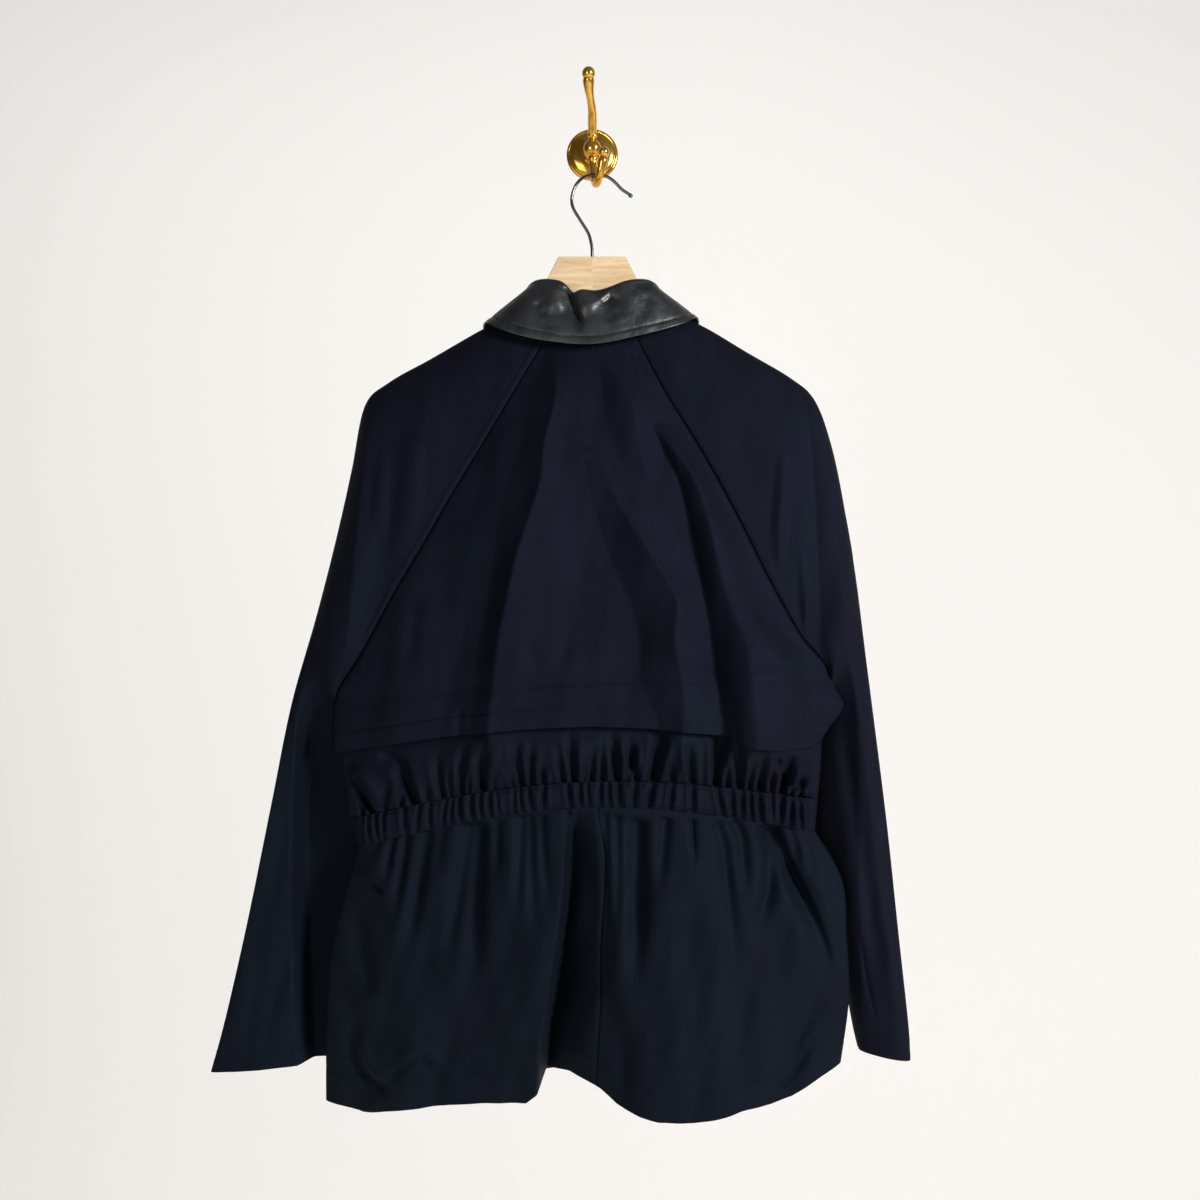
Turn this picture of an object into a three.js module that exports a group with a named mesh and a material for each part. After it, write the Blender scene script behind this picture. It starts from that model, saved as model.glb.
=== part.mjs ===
import * as THREE from "three";

// A hunting jacket hung back outwards on a wooden hanger, on a brass wall hook.
// Millimetres, +Z up. The wall is the plane y = 0 and everything stands before it, so a point's
// depth, its distance from the wall, is -y. The origin is the centre of the wall plate's back.

const CLOTH = 1.4; // wall of the shell cloth
const LEATHER = 1.8; // wall of the collar
const SEAM = 0.6; // half of the gap between two pieces that are sewn edge to edge
const SIDE_SEAM = 1.9; // half of the depth between back and front where they fold together
const UNDER_CAPE = 5; // how far the back lies below the cape at their seams
const FOLD_ROOM = 18; // and how much further in the middle, below the cape's folds
const FRONT_DEPTH = 12; // the fronts' distance from the wall
const FRONT_ROLL = 25; // how far a front takes to turn in from the side seam
const HANGER_DEPTH = 35; // the hanger's middle plane
const HANGER_THICK = 10;
const WIRE = 1.6; // radius of the hanger's wire
const PLATE = 26.7; // radius of the wall plate

// Sleeves, a row for each section from the neck to the cuff. seam is the raglan seam down to the
// armpit and the underarm seam below it. edge is the ridge of the shoulder, then the outer edge.
// closed is 0 where the section lies open to the body and 1 where it is a tube of its own.
const SLEEVE_LEFT = [
  { seamX: -44, seamZ: -199, back: 57, front: 17, drop: 24, edgeX: -77, edgeZ: -171, edge: 37, closed: 0, swell: 0 },
  { seamX: -82, seamZ: -265, back: 67, front: 13, drop: 16, edgeX: -118, edgeZ: -193, edge: 36, closed: 0, swell: 0 },
  { seamX: -112, seamZ: -316, back: 71, front: 12, drop: 10, edgeX: -163, edgeZ: -219, edge: 36, closed: 0, swell: 0 },
  { seamX: -138, seamZ: -359, back: 72, front: 13, drop: 6, edgeX: -204, edgeZ: -242, edge: 36, closed: 0, swell: 0 },
  { seamX: -166, seamZ: -407, back: 71, front: 15, drop: 4, edgeX: -229, edgeZ: -266, edge: 36, closed: 0, swell: 2 },
  { seamX: -195, seamZ: -455, back: 68, front: 20, drop: 2, edgeX: -242, edgeZ: -330, edge: 36, closed: 0.1, swell: 8 },
  { seamX: -229, seamZ: -515, back: 60, front: 30, drop: 0, edgeX: -258, edgeZ: -400, edge: 36, closed: 0.3, swell: 11 },
  { seamX: -256, seamZ: -560, back: 50, front: 42, drop: 0, edgeX: -278, edgeZ: -478, edge: 36, closed: 0.6, swell: 12 },
  { seamX: -249, seamZ: -600, back: 28, front: 25, drop: 0, edgeX: -298, edgeZ: -570, edge: 33, closed: 1, swell: 17 },
  { seamX: -230, seamZ: -690, back: 24, front: 21, drop: 0, edgeX: -318, edgeZ: -667, edge: 32, closed: 1, swell: 18 },
  { seamX: -240, seamZ: -808, back: 23, front: 20, drop: 0, edgeX: -343, edgeZ: -785, edge: 31, closed: 1, swell: 18 },
  { seamX: -250, seamZ: -896, back: 23, front: 20, drop: 0, edgeX: -368, edgeZ: -882, edge: 30, closed: 1, swell: 17 },
  { seamX: -258, seamZ: -932, back: 23, front: 20, drop: 0, edgeX: -383, edgeZ: -938, edge: 30, closed: 1, swell: 17 },
];
const SLEEVE_RIGHT = [
  { seamX: 42, seamZ: -197, back: 57, front: 17, drop: 24, edgeX: 75, edgeZ: -169, edge: 37, closed: 0, swell: 0 },
  { seamX: 71, seamZ: -255, back: 67, front: 13, drop: 16, edgeX: 114, edgeZ: -187, edge: 36, closed: 0, swell: 0 },
  { seamX: 98, seamZ: -300, back: 72, front: 12, drop: 10, edgeX: 156, edgeZ: -212, edge: 36, closed: 0, swell: 0 },
  { seamX: 125, seamZ: -347, back: 74, front: 13, drop: 6, edgeX: 200, edgeZ: -238, edge: 36, closed: 0, swell: 0 },
  { seamX: 150, seamZ: -394, back: 73, front: 15, drop: 4, edgeX: 224, edgeZ: -260, edge: 36, closed: 0, swell: 2 },
  { seamX: 176, seamZ: -445, back: 70, front: 20, drop: 2, edgeX: 241, edgeZ: -306, edge: 36, closed: 0.1, swell: 8 },
  { seamX: 206, seamZ: -496, back: 62, front: 30, drop: 0, edgeX: 254, edgeZ: -368, edge: 36, closed: 0.3, swell: 11 },
  { seamX: 236, seamZ: -535, back: 51, front: 42, drop: 0, edgeX: 266, edgeZ: -440, edge: 36, closed: 0.6, swell: 11 },
  { seamX: 230, seamZ: -585, back: 28, front: 25, drop: 0, edgeX: 277, edgeZ: -540, edge: 34, closed: 1, swell: 13 },
  { seamX: 226, seamZ: -690, back: 24, front: 21, drop: 0, edgeX: 295, edgeZ: -680, edge: 34, closed: 1, swell: 15 },
  { seamX: 253, seamZ: -808, back: 25, front: 22, drop: 0, edgeX: 307, edgeZ: -800, edge: 33, closed: 1, swell: 17 },
  { seamX: 267, seamZ: -893, back: 27, front: 24, drop: 0, edgeX: 317, edgeZ: -890, edge: 32, closed: 1, swell: 18 },
  { seamX: 272, seamZ: -920, back: 28, front: 25, drop: 0, edgeX: 321, edgeZ: -926, edge: 32, closed: 1, swell: 18 },
];
const ARMPIT = 7; // the row of both tables where the sleeve leaves the body

// The back across the body at each sleeve row: swell is its extra depth in the middle and arch how
// far the middle lies above the two seams. middleZ is the height of the fronts' edges.
const BACK_ROWS = [
  { swell: 4, arch: -4, middleZ: -246 },
  { swell: 10, arch: 0, middleZ: -290 },
  { swell: 15, arch: 0, middleZ: -335 },
  { swell: 19, arch: 0, middleZ: -378 },
  { swell: 23, arch: 2, middleZ: -420 },
  { swell: 27, arch: 4, middleZ: -465 },
  { swell: 35, arch: 8, middleZ: -515 },
  { swell: 46, arch: 12, middleZ: -560 },
];
// The cape below the armpits, down to its free hem.
const CAPE_HEM = [
  { leftX: -258.5, leftZ: -574, left: 50.5, rightX: 244, rightZ: -551, right: 52.5, swell: 48, arch: 16 },
  { leftX: -259, leftZ: -588, left: 51, rightX: 251, rightZ: -567, right: 54, swell: 48, arch: 20 },
  { leftX: -258.5, leftZ: -601, left: 52.5, rightX: 238, rightZ: -586, right: 56, swell: 45.5, arch: 23.5 },
  { leftX: -258, leftZ: -614, left: 54, rightX: 223, rightZ: -607, right: 58, swell: 43, arch: 27 },
];
// The body below the armpits, at its side seams.
const WAIST_ROWS = [
  { leftX: -252, leftZ: -614, left: 46, rightX: 231, rightZ: -604, right: 47, swell: 42, arch: 26, middleZ: -612 },
  { leftX: -243, leftZ: -681, left: 44, rightX: 226, rightZ: -661, right: 45, swell: 36, arch: 32, middleZ: -672 },
];
const CASING_ROWS = [
  WAIST_ROWS[1],
  { leftX: -234, leftZ: -708, left: 44, rightX: 223, rightZ: -692, right: 45, swell: 36, arch: 38, middleZ: -700 },
];
const SKIRT_ROWS = [
  CASING_ROWS[1],
  { leftX: -247, leftZ: -752, left: 46, rightX: 250, rightZ: -742, right: 48, swell: 42, arch: 28, middleZ: -748 },
  { leftX: -261, leftZ: -811, left: 46, rightX: 254, rightZ: -800, right: 50, swell: 45, arch: 15, middleZ: -806 },
  { leftX: -266, leftZ: -870, left: 44, rightX: 257, rightZ: -858, right: 47, swell: 49, arch: 6, middleZ: -866 },
  { leftX: -268, leftZ: -968, left: 36, rightX: 249, rightZ: -925, right: 44, swell: 48, arch: 0, middleZ: -938 },
];
const CENTRE_SEAM = 0.524; // where the skirt's two halves meet, as a share of its width
// How far the skirt's hem hangs below the straight line between its corners, along its width.
const HEM_DROP = [
  { place: 0, drop: -3 }, { place: 0.03, drop: 0 }, { place: 0.08, drop: 5 }, { place: 0.15, drop: 1 },
  { place: 0.25, drop: -4 }, { place: 0.34, drop: -3 }, { place: 0.395, drop: -2 }, { place: 0.43, drop: -16 },
  { place: 0.475, drop: -16 }, { place: 0.51, drop: -9 }, { place: 0.535, drop: -3 }, { place: 0.565, drop: 10 },
  { place: 0.61, drop: 21 }, { place: 0.645, drop: 27 }, { place: 0.71, drop: 31 }, { place: 0.75, drop: 30 },
  { place: 0.8, drop: 27 }, { place: 0.86, drop: 26 }, { place: 0.9, drop: 22 }, { place: 0.93, drop: 14 },
  { place: 0.96, drop: 7 }, { place: 1, drop: -1 },
];

// Large folds, each a soft trough, or a ridge where rise is positive, between two points.
const CAPE_FOLDS = [
  { fromX: -36, fromZ: -225, toX: -92, toZ: -615, reach: 11, rise: -11 },
  { fromX: 92, fromZ: -300, toX: 140, toZ: -620, reach: 15, rise: -15 },
  { fromX: 10, fromZ: -330, toX: 66, toZ: -570, reach: 18, rise: -5 },
];
const SKIRT_FOLDS = [
  { fromX: -16, fromZ: -705, toX: -32, toZ: -975, reach: 28, rise: -52 },
  { fromX: -110, fromZ: -700, toX: -114, toZ: -850, reach: 11, rise: -9 },
  { fromX: -165, fromZ: -700, toX: -190, toZ: -830, reach: 10, rise: -8 },
  { fromX: 42, fromZ: -700, toX: 34, toZ: -900, reach: 10, rise: -10 },
  { fromX: 184, fromZ: -705, toX: 240, toZ: -835, reach: 11, rise: -14 },
];
const SLEEVE_FOLDS = [
  { fromX: -226, fromZ: -285, toX: -268, toZ: -720, reach: 10, rise: -9 },
  { fromX: 222, fromZ: -275, toX: 246, toZ: -600, reach: 9, rise: -9 },
];

const clamp01 = (x) => Math.min(1, Math.max(0, x));
const mix = (a, b, t) => a + (b - a) * t;
const ease = (x) => clamp01(x) ** 2 * (3 - 2 * clamp01(x));

// The row at place v, from 0 to 1 down a table, each column on a smooth curve through its rows.
function rowAt(rows, v) {
  const place = clamp01(v) * (rows.length - 1);
  const i = Math.min(rows.length - 2, Math.floor(place));
  const t = place - i;
  const made = {};
  for (const column of Object.keys(rows[i])) {
    const [p1, p2] = [rows[i][column], rows[i + 1][column]];
    const p0 = rows[Math.max(0, i - 1)][column];
    const p3 = rows[Math.min(rows.length - 1, i + 2)][column];
    const [m1, m2] = [(p2 - p0) / 2, (p3 - p1) / 2];
    made[column] =
      (2 * t ** 3 - 3 * t ** 2 + 1) * p1 + (t ** 3 - 2 * t ** 2 + t) * m1 +
      (3 * t ** 2 - 2 * t ** 3) * p2 + (t ** 3 - t ** 2) * m2;
  }
  return made;
}

function foldsAt(folds, x, z) {
  let rise = 0;
  for (const f of folds) {
    const along = (z - f.fromZ) / (f.toZ - f.fromZ);
    const off = (x - mix(f.fromX, f.toX, along)) / f.reach;
    rise += f.rise * ease(along * 4) * ease((1.15 - along) * 4) * Math.exp(-off * off);
  }
  return rise;
}

// One closed wall of cloth. at(u, v) gives its outer face as [x, z, depth], and outward is 1 where
// the outer face is on the left of u as v runs down.
function wallOf(columns, rows, at, thick, outward) {
  const face = [];
  for (let j = 0; j <= rows; j++)
    for (let i = 0; i <= columns; i++) {
      const [x, z, depth] = at(i / columns, j / rows);
      face.push(new THREE.Vector3(x, -depth, z));
    }
  const id = (i, j) => j * (columns + 1) + i;
  const lining = face.map((p, k) => {
    const [i, j] = [k % (columns + 1), Math.floor(k / (columns + 1))];
    const across = face[id(Math.min(columns, i + 1), j)].clone().sub(face[id(Math.max(0, i - 1), j)]);
    const down = face[id(i, Math.min(rows, j + 1))].clone().sub(face[id(i, Math.max(0, j - 1))]);
    return p.clone().addScaledVector(down.cross(across).normalize(), -thick * outward);
  });
  const points = [...face, ...lining];
  const n = face.length;
  const triangles = [];
  const quad = (a, b, c, d) => triangles.push(a, b, c, a, c, d);
  for (let j = 0; j < rows; j++)
    for (let i = 0; i < columns; i++) {
      const corner = [id(i, j), id(i + 1, j), id(i + 1, j + 1), id(i, j + 1)];
      quad(corner[3], corner[2], corner[1], corner[0]);
      quad(corner[0] + n, corner[1] + n, corner[2] + n, corner[3] + n);
    }
  const rim = (a, b) => quad(a, b, b + n, a + n);
  for (let i = 0; i < columns; i++) {
    rim(id(i, 0), id(i + 1, 0));
    rim(id(i + 1, rows), id(i, rows));
  }
  for (let j = 0; j < rows; j++) {
    rim(id(0, j + 1), id(0, j));
    rim(id(columns, j), id(columns, j + 1));
  }
  if (outward < 0)
    for (let k = 0; k < triangles.length; k += 3)
      [triangles[k + 1], triangles[k + 2]] = [triangles[k + 2], triangles[k + 1]];
  const geometry = new THREE.BufferGeometry().setFromPoints(points).setIndex(triangles);
  geometry.computeVertexNormals();
  return geometry;
}

const finish = (color, roughness, metalness = 0) => new THREE.MeshStandardMaterial({ color, roughness, metalness });
const SHELL_CLOTH = finish(0x11131b, 0.75);
const COLLAR_LEATHER = finish(0x101112, 0.4);
const BEECH = finish(0xe3c08f, 0.55);
const DARK_STEEL = finish(0x2b2e31, 0.45, 0.8);
const BRASS = finish(0xc8962f, 0.25, 1);
const BUTTON = finish(0x15161a, 0.4);

const jacket = new THREE.Group();
const hanger = new THREE.Group();
const wallHook = new THREE.Group();
function add(group, name, geometry, material) {
  const mesh = new THREE.Mesh(geometry, material);
  mesh.name = name;
  group.add(mesh);
}

// ---- sleeves ----

// s runs from the back's seam over the outer edge, at a half, to the front's seam.
function sleeveAt(rows, s, v) {
  const r = rowAt(rows, v);
  const onBack = s <= 0.5;
  const p = onBack ? s * 2 : (1 - s) * 2; // 0 at the seam, 1 at the edge
  const seamDepth = onBack ? r.back : r.front;
  const seamZ = r.seamZ - (onBack ? 0 : r.drop);
  const swell = onBack ? r.swell : -r.swell * 0.75;
  const open = Math.sin((p * Math.PI) / 2);
  const tube = (1 - Math.cos(p * Math.PI)) / 2;
  const width = Math.hypot(r.edgeX - r.seamX, r.edgeZ - seamZ);
  const across = mix(open, tube, r.closed) * (1 - SEAM / width) + SEAM / width;
  const x = mix(r.seamX, r.edgeX, across);
  const z = mix(seamZ, r.edgeZ, across);
  const depthOpen = r.edge + (seamDepth - r.edge) * Math.cos((p * Math.PI) / 2);
  const depthTube = mix(seamDepth, r.edge, tube) + swell * Math.sin(p * Math.PI);
  const fold = onBack ? foldsAt(SLEEVE_FOLDS, x, z) * Math.sin(p * Math.PI) : 0;
  return [x, z, mix(depthOpen, depthTube, r.closed) + fold];
}
const SLEEVE_ROWS = 15;
const SLEEVE_COLUMNS = 20;
add(jacket, "sleeve_left",
  wallOf(SLEEVE_COLUMNS, SLEEVE_ROWS, (u, v) => sleeveAt(SLEEVE_LEFT, u, v), CLOTH, -1), SHELL_CLOTH);
add(jacket, "sleeve_right",
  wallOf(SLEEVE_COLUMNS, SLEEVE_ROWS, (u, v) => sleeveAt(SLEEVE_RIGHT, u, v), CLOTH, 1), SHELL_CLOTH);

// ---- back, cape, casing and skirt ----

const SEAM_ROWS = BACK_ROWS.map((row, i) => {
  const [l, r] = [SLEEVE_LEFT[i], SLEEVE_RIGHT[i]];
  return { leftX: l.seamX, leftZ: l.seamZ, left: l.back, rightX: r.seamX, rightZ: r.seamZ, right: r.back, ...row };
});
const CAPE_ROWS = [...SEAM_ROWS, ...CAPE_HEM.map((row) => ({ ...row, middleZ: 0 }))];
const BACK_PANEL_ROWS = [...SEAM_ROWS, ...WAIST_ROWS];

// t runs from the left seam to the right one, and v down the rows.
function backAt(rows, t, v, folds, under) {
  const r = rowAt(rows, v);
  const inset = SEAM / (r.rightX - r.leftX);
  const across = mix(inset, 1 - inset, t);
  const x = mix(r.leftX, r.rightX, across);
  const z = mix(r.leftZ, r.rightZ, across) + r.arch * Math.sin(Math.PI * t);
  const swell = r.swell * Math.sin(Math.PI * t) ** 0.7;
  const fold = foldsAt(folds, x, z) * ease(Math.sin(Math.PI * t) * 3); // none at the side seams
  return [x, z, mix(r.left, r.right, across) + swell + fold - under];
}
const BACK_COLUMNS = 20;
add(jacket, "cape",
  wallOf(BACK_COLUMNS, 10, (u, v) => backAt(CAPE_ROWS, u, v, CAPE_FOLDS, 0), CLOTH, 1), SHELL_CLOTH);

// The back hangs below the cape, and turns in with it at the seams.
const ARMPIT_SHARE = ARMPIT / (BACK_PANEL_ROWS.length - 1);
function backPanelAt(u, v) {
  const free = ease((v - ARMPIT_SHARE) * 6);
  const t = mix(mix(0.012, 0.988, u), u, free);
  const under = UNDER_CAPE + FOLD_ROOM * Math.sin(Math.PI * t) ** 0.5 * ease(v * 5);
  return backAt(BACK_PANEL_ROWS, t, v * 0.994 + 0.004, [], under * (1 - free) - SIDE_SEAM * free);
}
add(jacket, "back", wallOf(BACK_COLUMNS, 11, backPanelAt, CLOTH, 1), SHELL_CLOTH);

// The casing holds the elastic, so its cloth stands in small upright gathers.
const GATHERS = 18;
const GATHER_RISE = 1.6;
const CASING_PROUD = 3;
function casingAt(u, v) {
  const [x, z, depth] = backAt(CASING_ROWS, u, mix(0.03, 0.97, v), [], -SIDE_SEAM);
  const ends = Math.sin(Math.PI * u) ** 0.5;
  return [x, z, depth + ends * (CASING_PROUD + GATHER_RISE * Math.cos(2 * Math.PI * GATHERS * u))];
}
add(jacket, "waist_casing", wallOf(GATHERS * 3, 2, casingAt, CLOTH, 1), SHELL_CLOTH);

function hemDrop(t) {
  const i = Math.max(1, HEM_DROP.findIndex((row) => row.place >= clamp01(t)));
  const [low, high] = [HEM_DROP[i - 1], HEM_DROP[i]];
  return mix(low.drop, high.drop, (clamp01(t) - low.place) / (high.place - low.place));
}
function skirtAt(t, v) {
  const [x, z, depth] = backAt(SKIRT_ROWS, t, v, SKIRT_FOLDS, -SIDE_SEAM);
  return [x, z - hemDrop(t) * v * v, depth];
}
const HALF_COLUMNS = 15;
const SKIRT_STEPS = 9;
const SEAM_SHARE = SEAM / 500;
add(jacket, "skirt_left",
  wallOf(HALF_COLUMNS, SKIRT_STEPS,
    (u, v) => skirtAt(mix(0, CENTRE_SEAM - SEAM_SHARE, u), mix(0.006, 1, v)), CLOTH, 1), SHELL_CLOTH);
add(jacket, "skirt_right",
  wallOf(HALF_COLUMNS, SKIRT_STEPS,
    (u, v) => skirtAt(mix(CENTRE_SEAM + SEAM_SHARE, 1, u), mix(0.006, 1, v)), CLOTH, 1), SHELL_CLOTH);

// ---- fronts, placket and buttons ----

const frontRows = (sleeve, side) => [
  ...BACK_ROWS.map((row, i) => ({
    sideX: sleeve[i].seamX, sideZ: sleeve[i].seamZ - sleeve[i].drop, side: sleeve[i].front, middleZ: row.middleZ,
  })),
  ...[...WAIST_ROWS, ...SKIRT_ROWS].map((row) => ({
    sideX: row[side + "X"], sideZ: row[side + "Z"], side: row[side] - SIDE_SEAM, middleZ: row.middleZ,
  })),
];
const FRONT_LEFT = frontRows(SLEEVE_LEFT, "left");
const FRONT_RIGHT = frontRows(SLEEVE_RIGHT, "right");

// t runs from the side to the front edge in the middle.
function frontAt(rows, t, v) {
  const r = rowAt(rows, v);
  const middleX = Math.sign(r.sideX) * 1;
  const inset = (3 * SEAM) / Math.abs(r.sideX);
  const across = mix(inset, 1, t ** 1.3);
  const x = mix(r.sideX, middleX, across);
  const z = mix(r.sideZ, r.middleZ, across);
  const turn = Math.exp(-((Math.abs(x - r.sideX) / FRONT_ROLL) ** 1.5));
  return [x, z, FRONT_DEPTH + (r.side - FRONT_DEPTH) * turn];
}
const FRONT_COLUMNS = 9;
const FRONT_STEPS = 15;
add(jacket, "front_left",
  wallOf(FRONT_COLUMNS, FRONT_STEPS, (u, v) => frontAt(FRONT_LEFT, u, v), CLOTH, -1), SHELL_CLOTH);
add(jacket, "front_right",
  wallOf(FRONT_COLUMNS, FRONT_STEPS, (u, v) => frontAt(FRONT_RIGHT, u, v), CLOTH, 1), SHELL_CLOTH);

const PLACKET_WIDE = 52;
const PLACKET_TOP = -254;
const PLACKET_END = -940;
const PLACKET_DEPTH = FRONT_DEPTH - CLOTH - 0.5;
add(jacket, "placket",
  wallOf(2, 12, (u, v) => [(u - 0.5) * PLACKET_WIDE, mix(PLACKET_TOP, PLACKET_END, v), PLACKET_DEPTH], CLOTH, -1),
  SHELL_CLOTH);
const BUTTONS = 5;
const BUTTON_RADIUS = 9.5;
const BUTTON_THICK = 3;
const BUTTON_TOP = -330;
const BUTTON_STEP = 130;
for (let i = 0; i < BUTTONS; i++) {
  const disc = new THREE.CylinderGeometry(BUTTON_RADIUS, BUTTON_RADIUS, BUTTON_THICK, 20);
  disc.translate(0, -(PLACKET_DEPTH - 0.4 - BUTTON_THICK / 2), BUTTON_TOP - i * BUTTON_STEP);
  add(jacket, `button_${i + 1}`, disc, BUTTON);
}

// ---- collar ----

// Stations round the neck from the left front to the right front. roll is the fold at the top, and
// edge the free edge that lies on the shoulders. The seam follows the neck edges of the panels.
const COLLAR_ROWS = [
  { seamX: -4, seamZ: -243, seam: 16, rollX: -5, rollZ: -222, roll: 12, edgeX: -44, edgeZ: -292, edge: 6 },
  { seamX: -36, seamZ: -220, seam: 19, rollX: -34, rollZ: -194, roll: 13, edgeX: -80, edgeZ: -252, edge: 7 },
  { seamX: -63, seamZ: -181, seam: 24, rollX: -58, rollZ: -164, roll: 26, edgeX: -106, edgeZ: -199, edge: 20 },
  { seamX: -70, seamZ: -166, seam: 38, rollX: -63, rollZ: -154, roll: 38, edgeX: -106, edgeZ: -184, edge: 41 },
  { seamX: -59, seamZ: -176, seam: 50, rollX: -54, rollZ: -148, roll: 52, edgeX: -89, edgeZ: -195, edge: 62 },
  { seamX: -38, seamZ: -195, seam: 58, rollX: -34, rollZ: -150, roll: 60, edgeX: -52, edgeZ: -207, edge: 72 },
  { seamX: 0, seamZ: -200, seam: 61, rollX: 2, rollZ: -161, roll: 63, edgeX: -1, edgeZ: -212, edge: 75 },
];
const otherSide = (row) => ({ ...row, seamX: -row.seamX - 1, rollX: -row.rollX + 2, edgeX: -row.edgeX - 2, edgeZ: row.edgeZ + 5 });
const COLLAR_TABLE = [...COLLAR_ROWS, ...COLLAR_ROWS.slice(0, -1).reverse().map(otherSide)];
const ROLL_RADIUS = 3.2;

// v runs up the stand, over the roll and down the fall. The stand is nearer to the neck.
function collarAt(s, v) {
  const r = rowAt(COLLAR_TABLE, s);
  const seam = new THREE.Vector3(r.seamX, r.seamZ, r.seam);
  const roll = new THREE.Vector3(r.rollX, r.rollZ, r.roll);
  const edge = new THREE.Vector3(r.edgeX, r.edgeZ, r.edge);
  const out = edge.clone().sub(seam).setY(0).normalize(); // level, away from the neck
  const up = new THREE.Vector3(0, 1, 0);
  if (v < 0.35) return seam.lerp(roll.addScaledVector(out, -ROLL_RADIUS), v / 0.35).toArray();
  if (v > 0.5) return roll.addScaledVector(out, ROLL_RADIUS).lerp(edge, (v - 0.5) / 0.5).toArray();
  const turn = ((v - 0.35) / 0.15) * Math.PI;
  return roll
    .addScaledVector(out, -ROLL_RADIUS * Math.cos(turn))
    .addScaledVector(up, ROLL_RADIUS * Math.sin(turn))
    .toArray();
}
const COLLAR_STEPS = [0, 0.18, 0.35, 0.4, 0.45, 0.5, 0.62, 0.75, 0.88, 1];
const collarStep = (v) => COLLAR_STEPS[Math.round(v * (COLLAR_STEPS.length - 1))];
add(jacket, "collar",
  wallOf(26, COLLAR_STEPS.length - 1, (s, v) => collarAt(s, collarStep(v)), LEATHER, -1), COLLAR_LEATHER);

// ---- hanger ----

const HANGER_TOP = -116;
const HANGER_NECK = 34; // half of the neck's flat top
const HANGER_HALF = 206;
function hangerHalf(side) {
  const outline = new THREE.Shape();
  outline.moveTo(0.2, HANGER_TOP);
  outline.lineTo(HANGER_NECK, HANGER_TOP);
  outline.lineTo(62, -172);
  outline.quadraticCurveTo(66, -179, 76, -184);
  outline.quadraticCurveTo(150, -222, HANGER_HALF - 12, -254);
  outline.quadraticCurveTo(HANGER_HALF, -262, HANGER_HALF - 4, -276);
  outline.quadraticCurveTo(HANGER_HALF - 10, -284, HANGER_HALF - 24, -278);
  outline.quadraticCurveTo(90, -222, 0.2, -205);
  const bevel = 1.5;
  const bar = new THREE.ExtrudeGeometry(outline, {
    depth: HANGER_THICK - 2 * bevel, bevelThickness: bevel, bevelSize: bevel, bevelOffset: -bevel,
    bevelSegments: 2, curveSegments: 8,
  });
  // The outline's second axis becomes up, and the thickness runs towards the wall.
  bar.rotateX(Math.PI / 2).translate(0, -HANGER_DEPTH + HANGER_THICK / 2 - bevel, 0);
  if (side < 0) bar.rotateZ(Math.PI).translate(0, -2 * HANGER_DEPTH, 0);
  return bar;
}
add(hanger, "hanger_left", hangerHalf(-1), BEECH);
add(hanger, "hanger_right", hangerHalf(1), BEECH);

function rod(points, radius, steps, sides = 10) {
  const path = new THREE.CatmullRomCurve3(points.map(([x, z, depth]) => new THREE.Vector3(x, -depth, z)));
  const round = new THREE.Shape(
    Array.from({ length: sides }, (_, i) => {
      const turn = (i * 2 * Math.PI) / sides;
      return new THREE.Vector2(radius * Math.cos(turn), radius * Math.sin(turn));
    }));
  return new THREE.ExtrudeGeometry(round, { steps, extrudePath: path, bevelEnabled: false });
}
const HOOK_LOOP = [
  [0, HANGER_TOP + 0.4, HANGER_DEPTH], [-1, -101, HANGER_DEPTH], [-4, -91, HANGER_DEPTH],
  [-12, -78, HANGER_DEPTH], [-19, -66, HANGER_DEPTH], [-20.5, -56, HANGER_DEPTH], [-17, -44, HANGER_DEPTH],
  [-10, -36, HANGER_DEPTH], [0, -32.4, HANGER_DEPTH], [8, -32.4, HANGER_DEPTH], [16, -34.6, HANGER_DEPTH],
  [23, -39.8, HANGER_DEPTH], [30, -47, HANGER_DEPTH], [36.5, -51.4, HANGER_DEPTH],
];
add(hanger, "hanger_hook", rod(HOOK_LOOP, WIRE, 44, 8), DARK_STEEL);
const bead = new THREE.SphereGeometry(2.3, 12, 8);
bead.translate(38.9, -HANGER_DEPTH, -53.4);
add(hanger, "hanger_hook_bead", bead, DARK_STEEL);

// ---- wall hook ----

// A round profile of [radius, depth] pairs turned about the axis that stands out of the wall.
function turned(profile, segments = 32) {
  const made = new THREE.LatheGeometry(profile.map(([radius, depth]) => new THREE.Vector2(radius, depth)), segments);
  return made.rotateX(Math.PI);
}
const PLATE_TOP = 7;
add(wallHook, "wall_plate",
  turned([[0, 0], [PLATE, 0], [PLATE, 2], [PLATE - 1.5, 3.2], [PLATE - 3, 3], [PLATE - 5, 4.6], [18, 6.2],
    [10, PLATE_TOP], [0, PLATE_TOP]]), BRASS);
const BOSS_END = 28;
add(wallHook, "hook_boss",
  turned([[0, PLATE_TOP + 0.3], [6.5, PLATE_TOP + 0.3], [6, 10], [8.4, 13], [9.5, 17], [9.2, 21], [7, 25.5],
    [3.5, 27.6], [0, BOSS_END]], 24), BRASS);
const UPPER_ARM = [[0, 11.2, 19], [0, 15, 22], [-0.5, 24, 33], [-1.4, 34, 46], [-2.4, 44, 56], [-3, 51.5, 60]];
const LOWER_ARM = [[0.6, -11, 19], [1, -18, 18.5], [2, -29, 20], [3.4, -37.6, 26], [5, -39.8, 35],
  [7.4, -35.5, 43.5], [9.6, -28, 47], [11, -20.5, 48]];
add(wallHook, "hook_upper_arm", rod(UPPER_ARM, 4.6, 16), BRASS);
add(wallHook, "hook_lower_arm", rod(LOWER_ARM, 4.2, 22), BRASS);
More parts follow.
